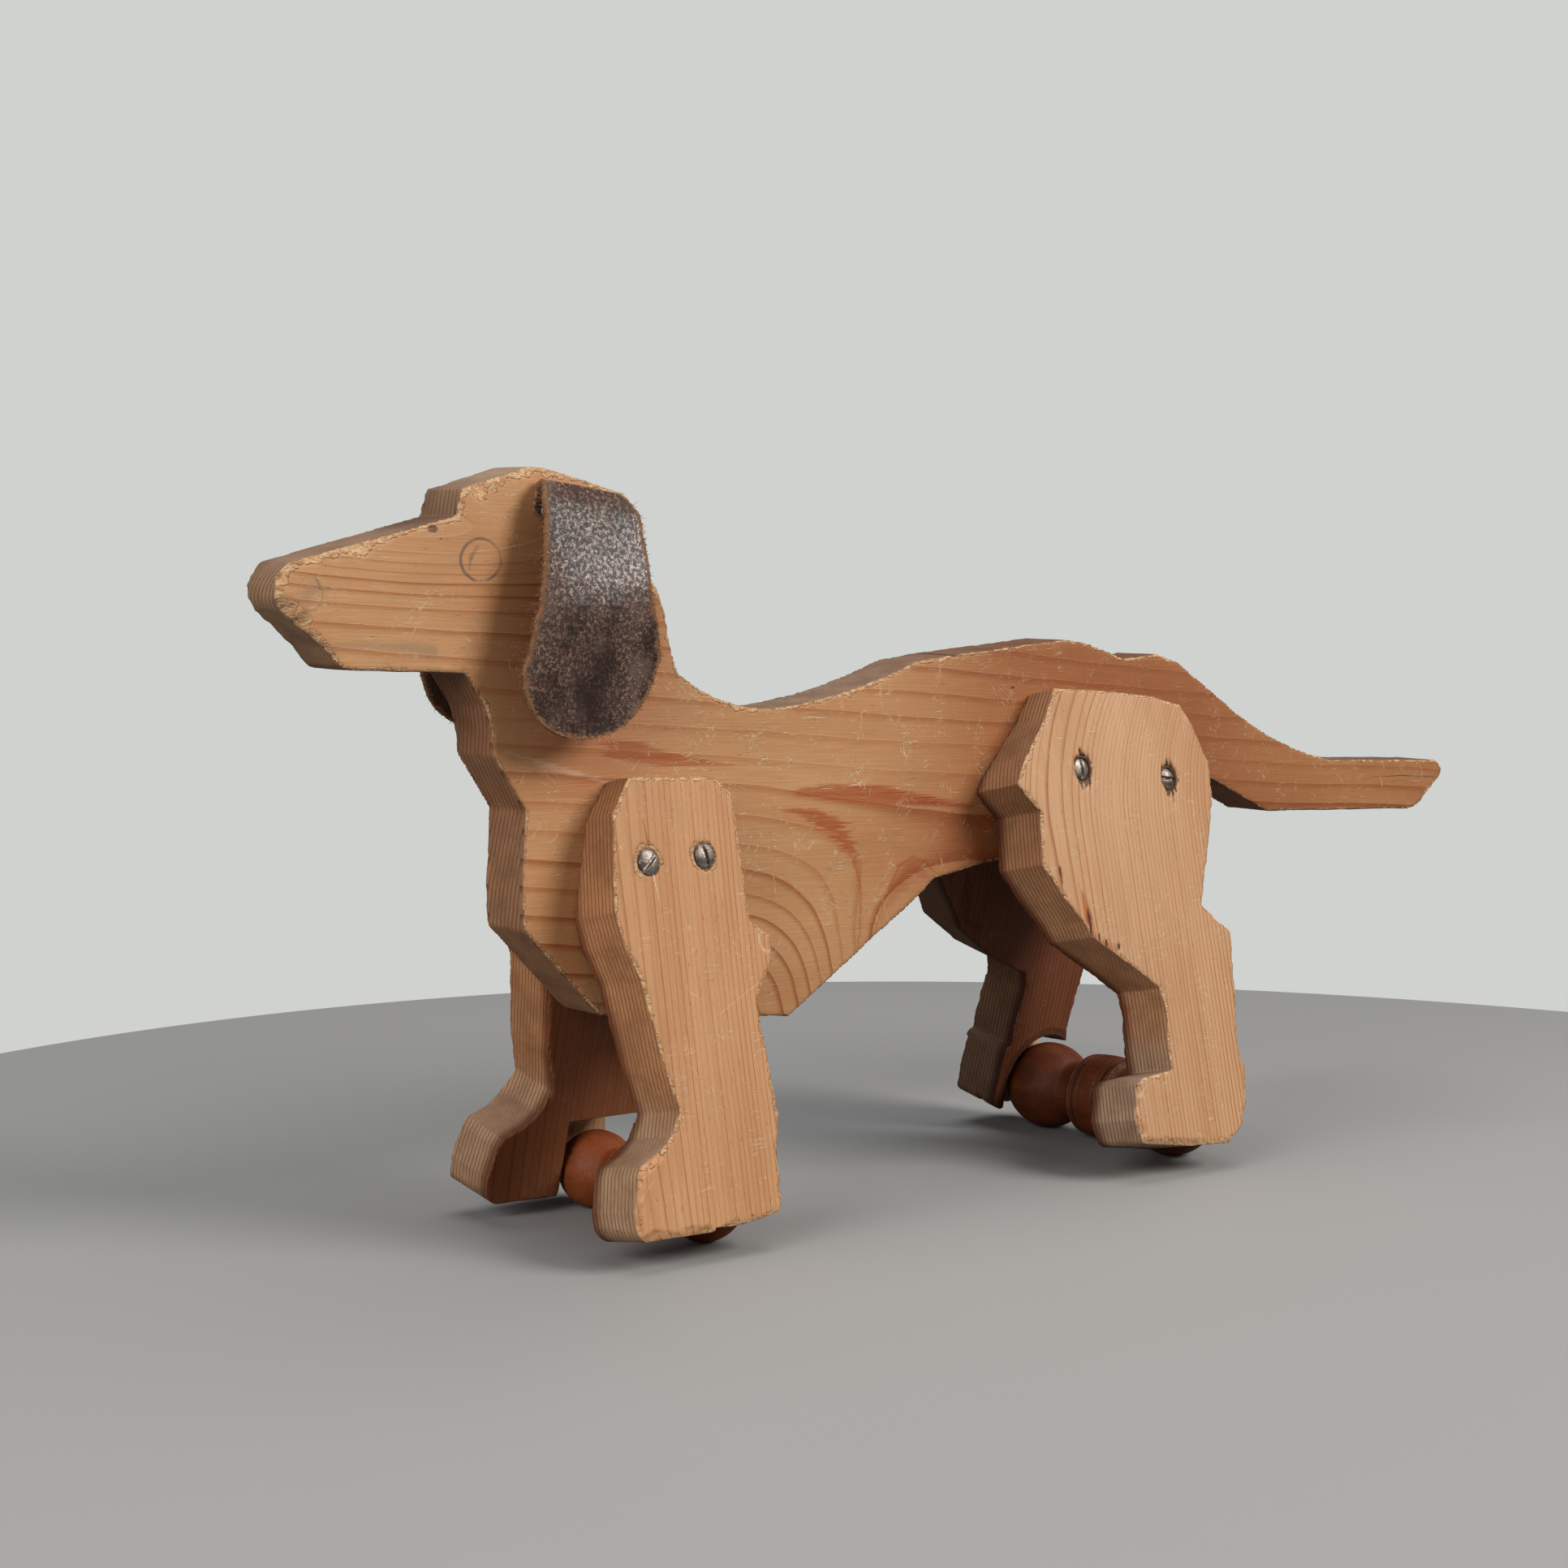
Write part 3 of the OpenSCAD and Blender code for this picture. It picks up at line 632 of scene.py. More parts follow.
def stroke(w, place, a, b, soft=0.4):
    """A straight stroke as a mask, from a to b, each given as x, z and half the stroke's width in mm."""
    way = (b[0] - a[0], 0, b[1] - a[1])
    off = place - (a[0], 0, a[1])
    share = w.ramp(w.calc("DOT_PRODUCT", off, way) / (way[0] ** 2 + way[2] ** 2), 0.0, 1.0, smooth=False)
    width = share * (b[2] - a[2]) + a[2]
    return w.ramp(w.calc("LENGTH", off - share * way) - width, -soft, soft, 1.0, 0.0)


def path(w, place, points, soft=0.4):
    """Strokes from point to point as one mask."""
    return w.most(*(stroke(w, place, a, b, soft) for a, b in zip(points, points[1:])))


def paths(w, *rows):
    """Paths as one mask. A row holds how strong a path is, its softness, the place that it reads and its points."""
    return w.most(*(path(w, place, points, soft) * strength for strength, soft, place, points in rows))


def frayed(w, place, upright, amount, seed=0.0):
    """The place pushed to and fro along the fibres, each fibre by its own amount, so that a stain ends in streaks."""
    across, way = ((1.3, 0, 0.04), (0, 0, 1)) if upright else ((0.04, 0, 1.3), (1, 0, 0))
    push = w.noise(place * across + (seed, 0, seed), 1.0, 3.0, 0.7) - 0.5
    return place + push * amount * way


def body_marks(w, place):
    x, _, z = w.split(place)
    flat = place * (1, 0, 1)
    ends, less = frayed(w, flat, False, 30), frayed(w, flat, False, 3, 5.0)
    streak = paths(
        w,
        (1, 0.8, ends, [(-88, 129.3, 0.9), (-77, 129.2, 2.3), (-52, 127.7, 3.0), (-32, 125.6, 1.8), (-6, 122.3, 0.3)]),
        (1, 0.8, ends, [(-90, 123.8, 0.5), (-80, 121.8, 2.3), (-70, 117.5, 3.0), (-63.5, 111, 1.5)]),
        (0.75, 0.7, less, [(-63.5, 111, 1.4), (-60, 103, 0.6), (-58.3, 96, 0.5), (-58.2, 86, 0.4),
                           (-58.8, 79.4, 0.3)]),
        (0.8, 0.8, flat, [(-52, 83, 0.2), (-46.8, 95.7, 0.4), (-41.8, 104.6, 0.5), (-35.9, 107, 0.6),
                          (-29.6, 105.5, 0.5), (-25.6, 102, 0.3)]),
        (0.5, 2.2, flat, [(-49, 88, 0.5), (-43, 97, 2.4), (-36, 103, 3.4), (-30, 102, 2)]),
        (0.8, 0.4, ends, [(-160, 143.3, 2.6), (-149, 141.8, 3.0), (-138, 139.8, 1.8), (-117, 138, 0.3)]),
    )
    pencil = w.most(oval_line(w, flat, EYE, (6.6, 5.7), 0.85, 0.3), paths(
        w,
        (0.75, 0.6, flat, [(-208.7, 198.7, 0.2), (-210.8, 195.6, 0.5), (-211.2, 192.3, 0.1)]),
        (1, 0.3, flat, [(-258.6, 188.3, 0.1), (-257.2, 185.5, 0.25)]),
    )) * (1.0 - w.read("sawn"))
    smudge = w.most(oval_line(w, flat, NOSE, (3.6, 4.3), 0.7, 0.1, 3.0), paths(
        w,
        (1, 1.2, flat, [(-254, 171, 0.5), (-241, 171.3, 0.8), (-229, 171, 1.3), (-222.4, 169.9, 1.9)]),
        (0.8, 1.6, flat, [(-261.2, 182.6, 1.8), (-259.6, 185.4, 2)]),
    ))
    knots = [(-223.4, 202.5, 1.0, 0.5), (-220.7, 199.9, 0.15, 0.1), (8.9, 161.8, 0.4, 0.5), (-19.8, 172.3, 0.6, 0.8)]
    dark = [stroke(w, flat, (u - half, v, size), (u + half, v, size)) for u, v, size, half in knots]
    dark.append(path(w, flat, [(217, 128.4, 0.0), (240, 128.7, 0.15), (264, 127.9, 0.05)], 0.22))
    pale = paths(
        w, (0.3, 0.5, frayed(w, flat, False, 22, 9.0), [(-198, 143, 0.2), (-182, 138.5, 0.9), (-160, 133.5, 0.3)]),
        (0.3, 0.4, ends, [(-183, 129.4, 0.1), (-147, 128.4, 0.3)]),
    )
    depth = w.ramp(z - w.ramp(x, -170, -150, 0.0, 40), 186, 199, 0.9, 0.15)
    for centre, size, least in (
        ((-65, 0, 136), (85, 1, 9), 0.2), ((90, 0, 150), (80, 1, 60), 0.5), ((-190, 0, 150), (45, 1, 16), 0.5)
    ):
        depth = depth * w.ramp(spot(w, flat, centre, size), 0.0, 1.0, 1.0, least, smooth=False)
    top = w.stained(
        (0.32, 0.195, 0.120),
        (w.ramp(x, -225, -140), (0.37, 0.24, 0.155)),
        (spot(w, flat, (-200, 0, 222), (22, 1, 8)), (0.44, 0.31, 0.205)),
        (spot(w, flat, (-222, 0, 208), (9, 1, 10)), (0.14, 0.070, 0.046)),
    )
    # towards the rump and tail the tint is partly the wood's own tone and partly painted shade; the spot is painted
    # shade under the ear
    tint = w.stained(
        (1.0, 1.0, 0.97),
        (w.ramp(x, -80, 20), (0.62, 0.435, 0.33)),
        (w.ramp(x, 110, 200), (0.71, 0.60, 0.51)),
        (spot(w, flat, (-172, 0, 169), (27, 1, 32)), (0.66, 0.35, 0.27)),
    )
    return {
        "Streak": streak, "Pencil": pencil, "Smudge": smudge, "Dark": w.most(*dark) * 0.85, "Pale": pale,
        "Ring_depth": depth, "Tint_colour": tint,
        "Saw_colour": w.mix(w.most(w.ramp(z, 160, 172), w.ramp(x, -165, -140)), (0.33, 0.160, 0.083), top),
        "Amount": w.ramp(w.calc("LENGTH", (flat - (-88, 0, 138)) * (0.02, 0, 0.03)), 0.6, 1.6, 1.6, 0.75),
    }


# %% Make the body
X, Y, Z = Vector((1, 0, 0)), Vector((0, 1, 0)), Vector((0, 0, 1))


def flat_normals(node, axis, least):
    """The normals of a board's two broad faces, and of any face planed at a small angle to them that is larger than
    least mm2."""
    found = []
    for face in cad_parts[node].data.polygons:
        if face.area > least * MM * MM and abs(face.normal.dot(axis)) > 0.9:
            if all(face.normal.dot(n) < 0.9999 for n in found):
                found.append(face.normal.copy())
    return found


# Where the board is chipped most: x, z, how far that reaches and how much it adds, in mm
CHIPS = ((-261, 184, 13, 4.6), (-243, 199, 12, 2.4), (-206, 214, 9, 4.2), (-190, 220, 12, 2.4), (-152, 200, 22, 1.2),
         (-66, 160, 5, 1.6), (-27, 172, 4, 1.2), (-110, 152, 6, 0.7), (266, 124, 9, 2.6))


def body_rounding(place):
    x, z = place.x / MM, place.z / MM
    if x > 240:
        return 6.5, 0.5
    if x < -222:
        return (11.0 if x < -250 else 8.0), 0.0
    return (4.5 if z < 178 and x < -140 else 1.8), 0.0


def body_chip(place, normal):
    x, z = place.x / MM, place.z / MM
    most_here = 0.9 + sum(add * math.exp(-((x - u) ** 2 + (z - v) ** 2) / size ** 2) for u, v, size, add in CHIPS)
    if normal.y > 0 or z < 80 or x > 100:
        most_here *= 0.7
    scallop = clamp(2.6 * abs(wander(place, 5.2, 2)))
    return 0.45 + most_here * (0.25 + 0.75 * scallop) + 0.25 * wander(place, 1.7, 9), 1.0


def thinned(mesh, most_triangles):
    """The mesh with fewer faces where it is flat."""
    mesh.calc_loop_triangles()
    count = len(mesh.loop_triangles)
    if count <= most_triangles:
        return mesh
    made = modified(mesh, "DECIMATE", ratio=most_triangles / count)
    made.name = mesh.name
    made.shade_smooth()
    print(mesh.name, "thinned from", count, "triangles to", len(made.polygons))
    return made


BODY_PINE = pine_material(
    "pine of the body", grain=(X, Z, Y), slope=(0.0062, 1 / 1.8, 0.1309), start=-7.66, bumps=BODY_BUMPS, drift=0.6,
    late=0.08, soft=0.32, half=7.4, extra=body_marks,
)
body_mesh = worn_mesh(
    "body", "body board", flat_normals("body", Y, least=150), voxel=0.85 * MM, chip=body_chip, rounding=body_rounding,
    saw=0.16, seed=1,
)
add_piece("body_board", thinned(body_mesh, most_triangles=190000), "dog", BODY_PINE, ["body"])

# %% [markdown]
# ## The four legs
# Each leg is a thicker board that leans out from the body, with its fibres up and down the leg. Its rings are close
# and straight, but wide at the front toes and at the hind thighs. The hind legs were cut near a knot, so their rings
# bend over at the top, and their screws went in roughly, so the wood is torn above and below each head. The inner
# faces and the far legs' sawn sides are painted darker and redder, as painted shade.

# %% The shape of a leg
def leg_axes(lean, side):
    """Along the fibres, across the face, and square to the face, for side -1 (left) or 1 (right)."""
    up = Vector((0, -side * math.sin(lean), math.cos(lean)))
    return up, X, Vector((0, side * math.cos(lean), math.sin(lean)))


def is_toe(place):
    return place.x < -150 * MM or 20 * MM < place.x < 60 * MM


def leg_rounding(place):
    low = max(0.0, 1 - place.z / (20 * MM))
    return (0.6 + 8 * low, 0.42) if is_toe(place) else (0.5 + 1.5 * low, 0.0)


def leg_chip(place, normal):
    z = place.z / MM
    if normal.y * place.y < 0 and z < 37:
        return 0.3, 0.0
    if is_toe(place) and z < 33:
        return 2.6 + 0.8 * wander(place, 9, 31) + 0.15 * wander(place, 1.6, 17), 0.42
    foot = 0.4 * max(0.0, 1 - z / 45)
    reach = 0.6 + (1.0 + 2.4 * foot) * clamp(2.4 * abs(wander(place, 5.5, 31))) + 0.25 * wander(place, 1.5, 17)
    return reach, 0.45 if normal.y * place.y < 0 else 0.9


def tears(marks, seed):
    """Gives the depth of torn wood at a place. Each mark is x, z, half its width, half its height and its depth."""
    def depth_at(place):
        x, z, deepest = place.x / MM, place.z / MM, 0.0
        for u, v, half_u, half_v, depth in marks:
            if abs(x - u) < 1.6 * half_u and abs(z - v) < 2 * half_v:
                slip = 0.9 * half_v * wander(Vector((place.x, 0, 0)), 1.0, seed)
                q = math.hypot((x - u) / half_u, (z - v + slip) / half_v)
                deepest = max(deepest, depth * clamp((1.25 - q) * 3))
        return deepest
    return depth_at


# %% Marks on the legs
def leg_colours(w, place, outer, slope, tint, painted_inner_shade, right):
    """A tint and a saw colour for a leg. Its inner face is painted darker and redder, as painted shade. outer and
    slope give the outer face's distance from the middle at height 0 and how much less it is for each mm of height.
    right darkens the right leg's sawn sides, which is painted shade on the far legs."""
    _, y, z = w.split(place)
    deep = outer - z * slope - abs(y)
    high = w.mix(w.ramp(z, 85, 125), (0.56, 0.255, 0.110), (0.33, 0.148, 0.062))
    saw = w.mix(w.ramp(z, 36, 50), (0.48, 0.290, 0.170), high)
    # the inner face's colour and the right leg's dark saw colour are painted shade
    return {
        "Tint_colour": w.mix(w.ramp(deep, 15, 19.5), tint, painted_inner_shade), "Amount": w.ramp(deep, 10, 19, 0.8, 0.2),
        "Saw_colour": w.mix(w.ramp(y, -5, 5, 0.0, right), saw, (0.13, 0.055, 0.028)),
    }


def front_marks(w, place):
    flat = place * (1, 0, 1)
    crack = frayed(w, flat, False, 2.0)
    pale = w.most(oval_line(w, flat, (-117, 88.5), (2.6, 3.6), 0.9, 0.2) * 0.6, paths(
        w,
        (1, 0.2, crack, [(-157, 109, 0.3), (-156.3, 105, 0.2), (-155.4, 100.5, 0.05)]),
        (0.35, 0.3, flat, [(-137.4, 68.6, 0.1), (-120.8, 76.6, 0.15)]),
        (0.5, 0.25, flat, [(-149, 77.6, 0.1), (-147.8, 75.2, 0.1), (-145.6, 74.2, 0.15)]),
    ))
    dark = [oval_line(w, flat, (x, z), (3.75, 3.75), 0.7, 0.5) for x, z in ((-158, 112), (-137, 113))]
    dark.append(path(w, crack, [(-158.6, 124, 0.0), (-157.7, 118, 0.1), (-157.2, 115, 0.2)], 0.22))
    # the last two values are the painted shade of the inner face and of the right leg's sawn sides
    colours = leg_colours(w, place, 48.3, 0.21256, (1, 1, 1), (0.42, 0.28, 0.22), 0.2)
    return {"Pale": pale, "Dark": w.most(*dark) * 0.7, "Ring_depth": 0.75, **colours}


def rear_marks(w, place):
    _, y, z = w.split(place)
    flat = place * (1, 0, 1)
    ends = frayed(w, flat, True, 12)
    streak = path(w, ends, [(17.0, 96, 0.6), (18.4, 88, 1.9), (20.5, 80, 1.2), (30, 77, 0.8)], 0.7)
    rim = oval_line(w, flat, (79, 15.5), (19.0, 19.2), 2.6, 0.5) * w.ramp(abs(y), 38, 42, 1.0, 0.0)
    holes = [oval_line(w, flat, (x, z), (3.9, 3.9), 1.2, 0.8) for x, z in ((26, 136), (70.5, 132))]
    # the last two values are the painted shade of the inner face and of the right leg's sawn sides
    colours = leg_colours(w, place, 57.9, 0.23087, (0.96, 1.04, 1.15), (0.33, 0.20, 0.16), 0.85)
    return {
        "Streak": streak, "Dark": w.most(rim, *holes) * 0.85, "Ring_depth": w.ramp(z, 50, 100, 1.15, 0.85), **colours
    }


# %% Make the legs
def leg(node, side, slope, seed, pair):
    """slope is the count's slope along, across and through the board. pair holds what both legs of a pair share."""
    up, across, out = leg_axes(math.radians(pair["lean"]), side)
    slope = tuple(up * slope[0] + across * slope[1] + out * slope[2])
    material = pine_material(
        "pine of " + node.replace("_", " "), (up, across, out), slope, start=seed * 0.37, drift=0.8, soft=0.2,
        **{name: pair[name] for name in ("bumps", "late", "bend", "extra")},
    )
    mesh = worn_mesh(
        node, node + " board", [out, -out, -side * Y], voxel=0.52 * MM, chip=leg_chip, rounding=leg_rounding,
        saw=0.12, seed=seed, carve=tears(pair["torn"], seed),
    )
    add_piece(node + "_board", thinned(mesh, most_triangles=170000), "dog", material, [node])


REAR_TEARS = (
    (26, 136.0, 3.6, 5.0, 0.9), (70.6, 132.0, 3.6, 5.0, 0.9), (8.0, 102, 0.5, 2.6, 0.5), (19.2, 86, 0.7, 4.2, 0.6),
    (23.0, 81, 0.5, 1.4, 0.4), (26.2, 78.8, 0.6, 1.6, 0.4), (32, 77.6, 0.7, 1.2, 0.4),
)
FRONT = {
    "lean": 12, "bumps": (((-185, 0, 40), (18, 1e4, 1e4), 7.7),), "bend": (60, 0.0004), "late": 0.13,
    "extra": front_marks, "torn": (),
}
REAR = {
    "lean": 13, "bumps": (((-6, 0, 110), (20, 1e4, 1e4), 8.8),), "bend": (117, 0.009), "late": 0.19,
    "extra": rear_marks, "torn": REAR_TEARS,
}
leg("front_left_leg", -1, (0.01, 0.52, 0.62), 41, FRONT)
leg("front_right_leg", 1, (0.01, 0.50, -0.62), 47, FRONT)
leg("rear_left_leg", -1, (0.01, 0.50, 0.66), 53, REAR)
leg("rear_right_leg", 1, (0.01, 0.48, -0.66), 59, REAR)

# %% [markdown]
# ## The rollers
# A roller is turned on a lathe, so it is a profile spun round its axis: a barrel that swells in the middle, a thin
# groove, a rounded rim, a hollow neck and a ball at each end. It is dark hardwood with a painted highlight on its rim
# and painted shade in its groove, and its lathe lines run round it. The rear roller's darker tint is painted shade.

# %% The shape of a roller
GROOVE_MM = 2.7  # from the rim to the groove
BORE_MM = 3.0  # nothing wears inside this radius


def bowed(a, b, bow, steps=14):
    """Points from a to b on a curve whose middle stands off to the left of the way by bow."""
    way = Vector(b) - Vector(a)
    left = Vector((-way.y, way.x)).normalized()
    return [Vector(a) + way * t + left * (4 * bow * t * (1 - t)) for t in np.linspace(0, 1, steps)]


def roller_places(r):
    """How far from a roller's middle its ball, its neck and its rim stand, in mm, and the neck's angle on the ball."""
    ball_y = r["half"] - r["ball"]
    neck = math.acos(r["neck"] / r["ball"])
    neck_y = ball_y - r["ball"] * math.sin(neck)
    return ball_y, neck_y, neck_y - r["flare"], neck


def roller_profile(r):
    """Half a roller as (radius, distance from its middle), in mm, from the middle of the barrel to the ball's bore."""
    ball_y, neck_y, rim_y, neck = roller_places(r)
    groove_y = rim_y - GROOVE_MM
    points = []
    for y in np.arange(0, rim_y, 0.1):
        cut = 0.75 * math.exp(-((y - groove_y) / 0.42) ** 2) + 0.35 * math.exp(-((y - groove_y + 2.4) / 0.4) ** 2)
        cut += 0.35 * max(0.0, (y - rim_y + 0.6) / 0.6) ** 2
        points.append((r["barrel"] - 0.7 * (y / rim_y) ** 2 - cut - 0.03, y))
    points += [tuple(p) for p in bowed((r["barrel"] - 1.1, rim_y), (r["neck"], neck_y), 0.17 * r["flare"], 20)]
    for t in np.linspace(0.02, 1, 46):
        angle = -neck + (math.pi / 2 + neck) * t
        radius = r["ball"] * math.cos(angle)
        if radius > 2.2:
            points.append((radius - 0.02, ball_y + r["ball"] * math.sin(angle)))
    points.append((2.06, points[-1][1] - 0.1))
    return points


def skin(solid, rings):
    """Faces between each ring of points and the next."""
    for one, two in zip(rings, rings[1:]):
        for i in range(len(one)):
            j = (i + 1) % len(one)
            solid.faces.new((one[i], one[j], two[j], two[i]))


def finished(solid, name):
    """The bmesh as a smooth mesh."""
    bmesh.ops.recalc_face_normals(solid, faces=solid.faces)
    mesh = bpy.data.meshes.new(name)
    solid.to_mesh(mesh)
    solid.free()
    mesh.shade_smooth()
    print(name, "has", len(mesh.polygons), "faces")
    return mesh


def turned(name, r, seed, around=144):
    half = roller_profile(r)
    solid = bmesh.new()
    rings = []
    for radius, y in [(radius, -y) for radius, y in reversed(half[1:])] + half:
        rings.append([])
        for i in range(around):
            angle = 2 * math.pi * i / around
            place = Vector((math.sin(angle), 0, math.cos(angle)))
            worn = 0.10 * max(0.0, wander(place * 9 * MM + Vector((0, y * MM, 0)), 3.5, seed))
            reach = radius - (worn if radius > BORE_MM else 0.0)
            rings[-1].append(solid.verts.new(Vector((r["x"] + place.x * reach, y, r["z"] + place.z * reach)) * MM))
    skin(solid, [*rings, rings[0]])
    return finished(solid, name)


# %% Group: turned wood
def draw_turned_wood(w, place, rim, tint_colour):
    y = w.split(place)[1]
    fibre = w.noise(place, (1.3, 0.05, 1.3), 4.0, 0.6)
    cloud = w.noise(place, (0.14, 0.05, 0.14), 3.0)
    lathe = w.noise(w.join(0.0, y * 3.2, 0.0), 1.0, 3.0, 0.7)
    worn = w.ramp(fibre, 0.35, 0.5, 1.0, 0.0) * w.ramp(cloud, 0.5, 0.68)
    off = abs(y) - rim
    # painted highlight: the rim is painted pale
    painted_rim_highlight = w.ramp(abs(off), 0.5, 1.1, 1.0, 0.0) * w.ramp(fibre, 0.35, 0.55, 0.9, 0.4)
    # painted shade: the groove is painted nearly black
    painted_groove_shade = w.ramp(abs(off + GROOVE_MM), 0.2, 0.6, 0.85, 0.0)
    wood = w.stained(
        (0.20, 0.052, 0.017),
        (w.ramp(cloud, 0.3, 0.7), (0.30, 0.092, 0.031)),
        (w.ramp(fibre, 0.5, 0.72, 0.0, 0.6), (0.11, 0.033, 0.014)),
        (worn * 0.5, (0.50, 0.22, 0.10)),
    )
    wood_with_tint_and_painted_shade = wood * tint_colour
    return {
        "Colour": w.stained(wood_with_tint_and_painted_shade, (painted_rim_highlight * 0.8, (0.40, 0.21, 0.115)), (painted_groove_shade, (0.03, 0.012, 0.006))),
        "Roughness": w.ramp(fibre + worn * 0.3, 0.3, 0.9, 0.50, 0.74),
        "Height": fibre * 0.05 + lathe * 0.07 - w.ramp(fibre, 0.62, 0.72) * 0.05,
    }


TURNED_WOOD = make_group(
    "Turned wood", {"Place": (0.0, 0.0, 0.0), "Rim": 10.0, "Tint colour": (1.0, 1.0, 1.0, 1.0)}, SURFACE,
    draw_turned_wood,
)

# %% Turn the rollers
# Sizes in mm: where the middle is, then the radii of balls, barrel and necks, the flare's width, half the length
FRONT_ROLLER = {"x": -134, "z": 12, "ball": 12, "barrel": 11.5, "neck": 8, "flare": 6.5, "half": 37.26}
REAR_ROLLER = {"x": 79, "z": 15.5, "ball": 15.5, "barrel": 15, "neck": 10.25, "flare": 8.3, "half": 43.84}
# the rear roller's darker tint is painted shade
for body, r, seed, tint in (
    ("front_roller", FRONT_ROLLER, 5, (0.97, 0.76, 0.48)), ("rear_roller", REAR_ROLLER, 8, (0.58, 0.45, 0.32))
):
    material, w = new_material("turned wood of the " + body.replace("_", " "))
    middle = (r["x"], 0, r["z"])
    wood = use_group(w, TURNED_WOOD, Place=w.place() - middle, Rim=roller_places(r)[2], Tint_colour=tint)
    dress(w, wood, Specular_IOR_Level=0.35)
    add_piece(body + "_turned", turned(body + " turned", r, seed), body, material, [body])

# %% [markdown]
# ## Steel: screws, tacks and axles
# The screws are old slotted wood screws, dull and stained in patches. Each keeps its CAD shape, with its edges
# rounded by remeshing it into small squares and smoothing them.

# %% Steel
def draw_dull_steel(w, place):
    fine, wide = w.noise(place, 2.5, 4.0, 0.65), w.noise(place, 0.5, 3.0, 0.6)
    colour = w.mix(w.ramp(wide, 0.35, 0.65), (0.38, 0.335, 0.30), (0.20, 0.16, 0.135))
    stain = w.ramp(fine + wide * 0.5, 0.78, 0.92)
    return {
        "Colour": w.mix(stain * 0.8, colour, (0.10, 0.045, 0.025)),
        "Roughness": w.ramp(fine, 0.3, 0.75, 0.34, 0.66),
        "Height": fine * 0.07 + w.noise(place, (0.4, 6.0, 2.2), 1.0) * 0.04,
    }


STEEL, w = new_material("dull steel")
DULL_STEEL = make_group("Dull steel", {"Place": (0.0, 0.0, 0.0)}, SURFACE, draw_dull_steel)
dress(w, use_group(w, DULL_STEEL, Place=w.place()), Metallic=0.85)


def rounded(node, name, voxel, rounds):
    """A CAD solid with its edges rounded a little."""
    solid = welded(node)
    mesh = remeshed(solid, name, voxel)
    solid.free()
    fine = bmesh.new()
    fine.from_mesh(mesh)
    for _ in range(rounds):
        bmesh.ops.smooth_vert(fine, verts=fine.verts, factor=0.5, use_axis_x=True, use_axis_y=True, use_axis_z=True)
    fine.to_mesh(mesh)
    fine.free()
    mesh.shade_smooth()
    return mesh


for node in sorted(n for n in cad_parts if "_screw_" in n or "_tack_" in n):
    size = 0.2 * MM if "_screw_" in node else 0.13 * MM
    add_piece(node + "_head", rounded(node, node + " head", size, 2), "dog", STEEL, [node])
for node in ("front_axle", "rear_axle"):
    paint(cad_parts[node].data, STEEL)

# %% [markdown]
# ## The leather ears
# Each ear is one strip of leather: a narrow leaf is tacked flat to the head, the strip rolls over at the fold and the
# ear hangs outside. The strip is drawn as rows along its length. Each row runs from the left edge to the right edge
# of the cut, on both sides of the leather, so the thickness and the raw edge are real. The cut is ragged, and
# fibres stick out of it.

# %% The path and the cut of an ear
FOLD = Vector((-177, 11.65, 214.45)) * MM
FOLD_BACK = Vector((0.995562, 0, -0.094108))
FOLD_UP = Vector((0.094108, 0, 0.995562))
LEATHER_MM, ROLL_MM, EAR_MM = 1.6, 1.7, 71.5
LEAN_FOLD_DEG, LEAN_TOP_DEG, LEAN_TIP_DEG = 40, 15, -1
ROW_MM, LEAF_MM = 0.45, 9.6

# The cut of the hanging part, in mm from the middle of the fold
EAR_BACK = [Vector((14.5, 0)), *bowed((19.2, -6), (21.6, -31), 0.2), *bowed((21.6, -31), (26.2, -46), 0.7),
            *bowed((26.2, -46), (-3, -71.5), 8.4, 40)]
EAR_FRONT = [*bowed((-3, -71.5), (-20.9, -56), 4.2, 30), *bowed((-20.9, -56), (-15, -11), -1.0), Vector((-14.5, 0))]


def edge_at(points, drop):
    return float(np.interp(drop, *zip(*sorted((-p.y, p.x) for p in points))))


def ear_path(outward):
    """Rows down the strip: (outward, up, outward normal, up normal, drop on the hanging part or None). The
    hanging part leans outward by that many degrees more."""
    rows = [(-ROLL_MM, v, -1.0, 0.0, None) for v in np.arange(-LEAF_MM, -0.05, 0.4)]
    for angle in np.linspace(math.pi, math.radians(LEAN_FOLD_DEG), 20):
        rows.append((ROLL_MM * math.cos(angle), ROLL_MM * math.sin(angle), math.cos(angle), math.sin(angle), None))
    out, up = rows[-1][:2]
    drop, step = 1.2, ROW_MM
    while drop < EAR_MM - 0.02:
        share = clamp((drop - 20) / 24)
        lean = outward + LEAN_TOP_DEG + (LEAN_TIP_DEG - LEAN_TOP_DEG) * share * share * (3 - 2 * share)
        lean = math.radians(lean + (LEAN_FOLD_DEG - LEAN_TOP_DEG) * max(0.0, 1 - drop / 8))
        out, up = out + step * math.sin(lean), up - step * math.cos(lean)
        drop += step
        rows.append((out, up, math.cos(lean), math.sin(lean), drop))
        step = min(ROW_MM, max(0.03, (EAR_MM - drop) * 0.18))
    return rows


# %% The shape of an ear
ACROSS = 104  # squares from edge to edge of an ear
NARROWEST_MM = 0.6  # the tip ends where a row would be narrower
CUT_POINTS = (0.7, 0.2, -0.3, -0.75)  # where a cut edge's points stand, in half thicknesses from the middle
RAW_EDGE_MM = 3.6  # how far in from the cut the leather looks raw
LOOSE_FIBRES = 760
FIBRE_SIDES = (0, 2.1, 4.2)  # a loose fibre has three sides, in radians


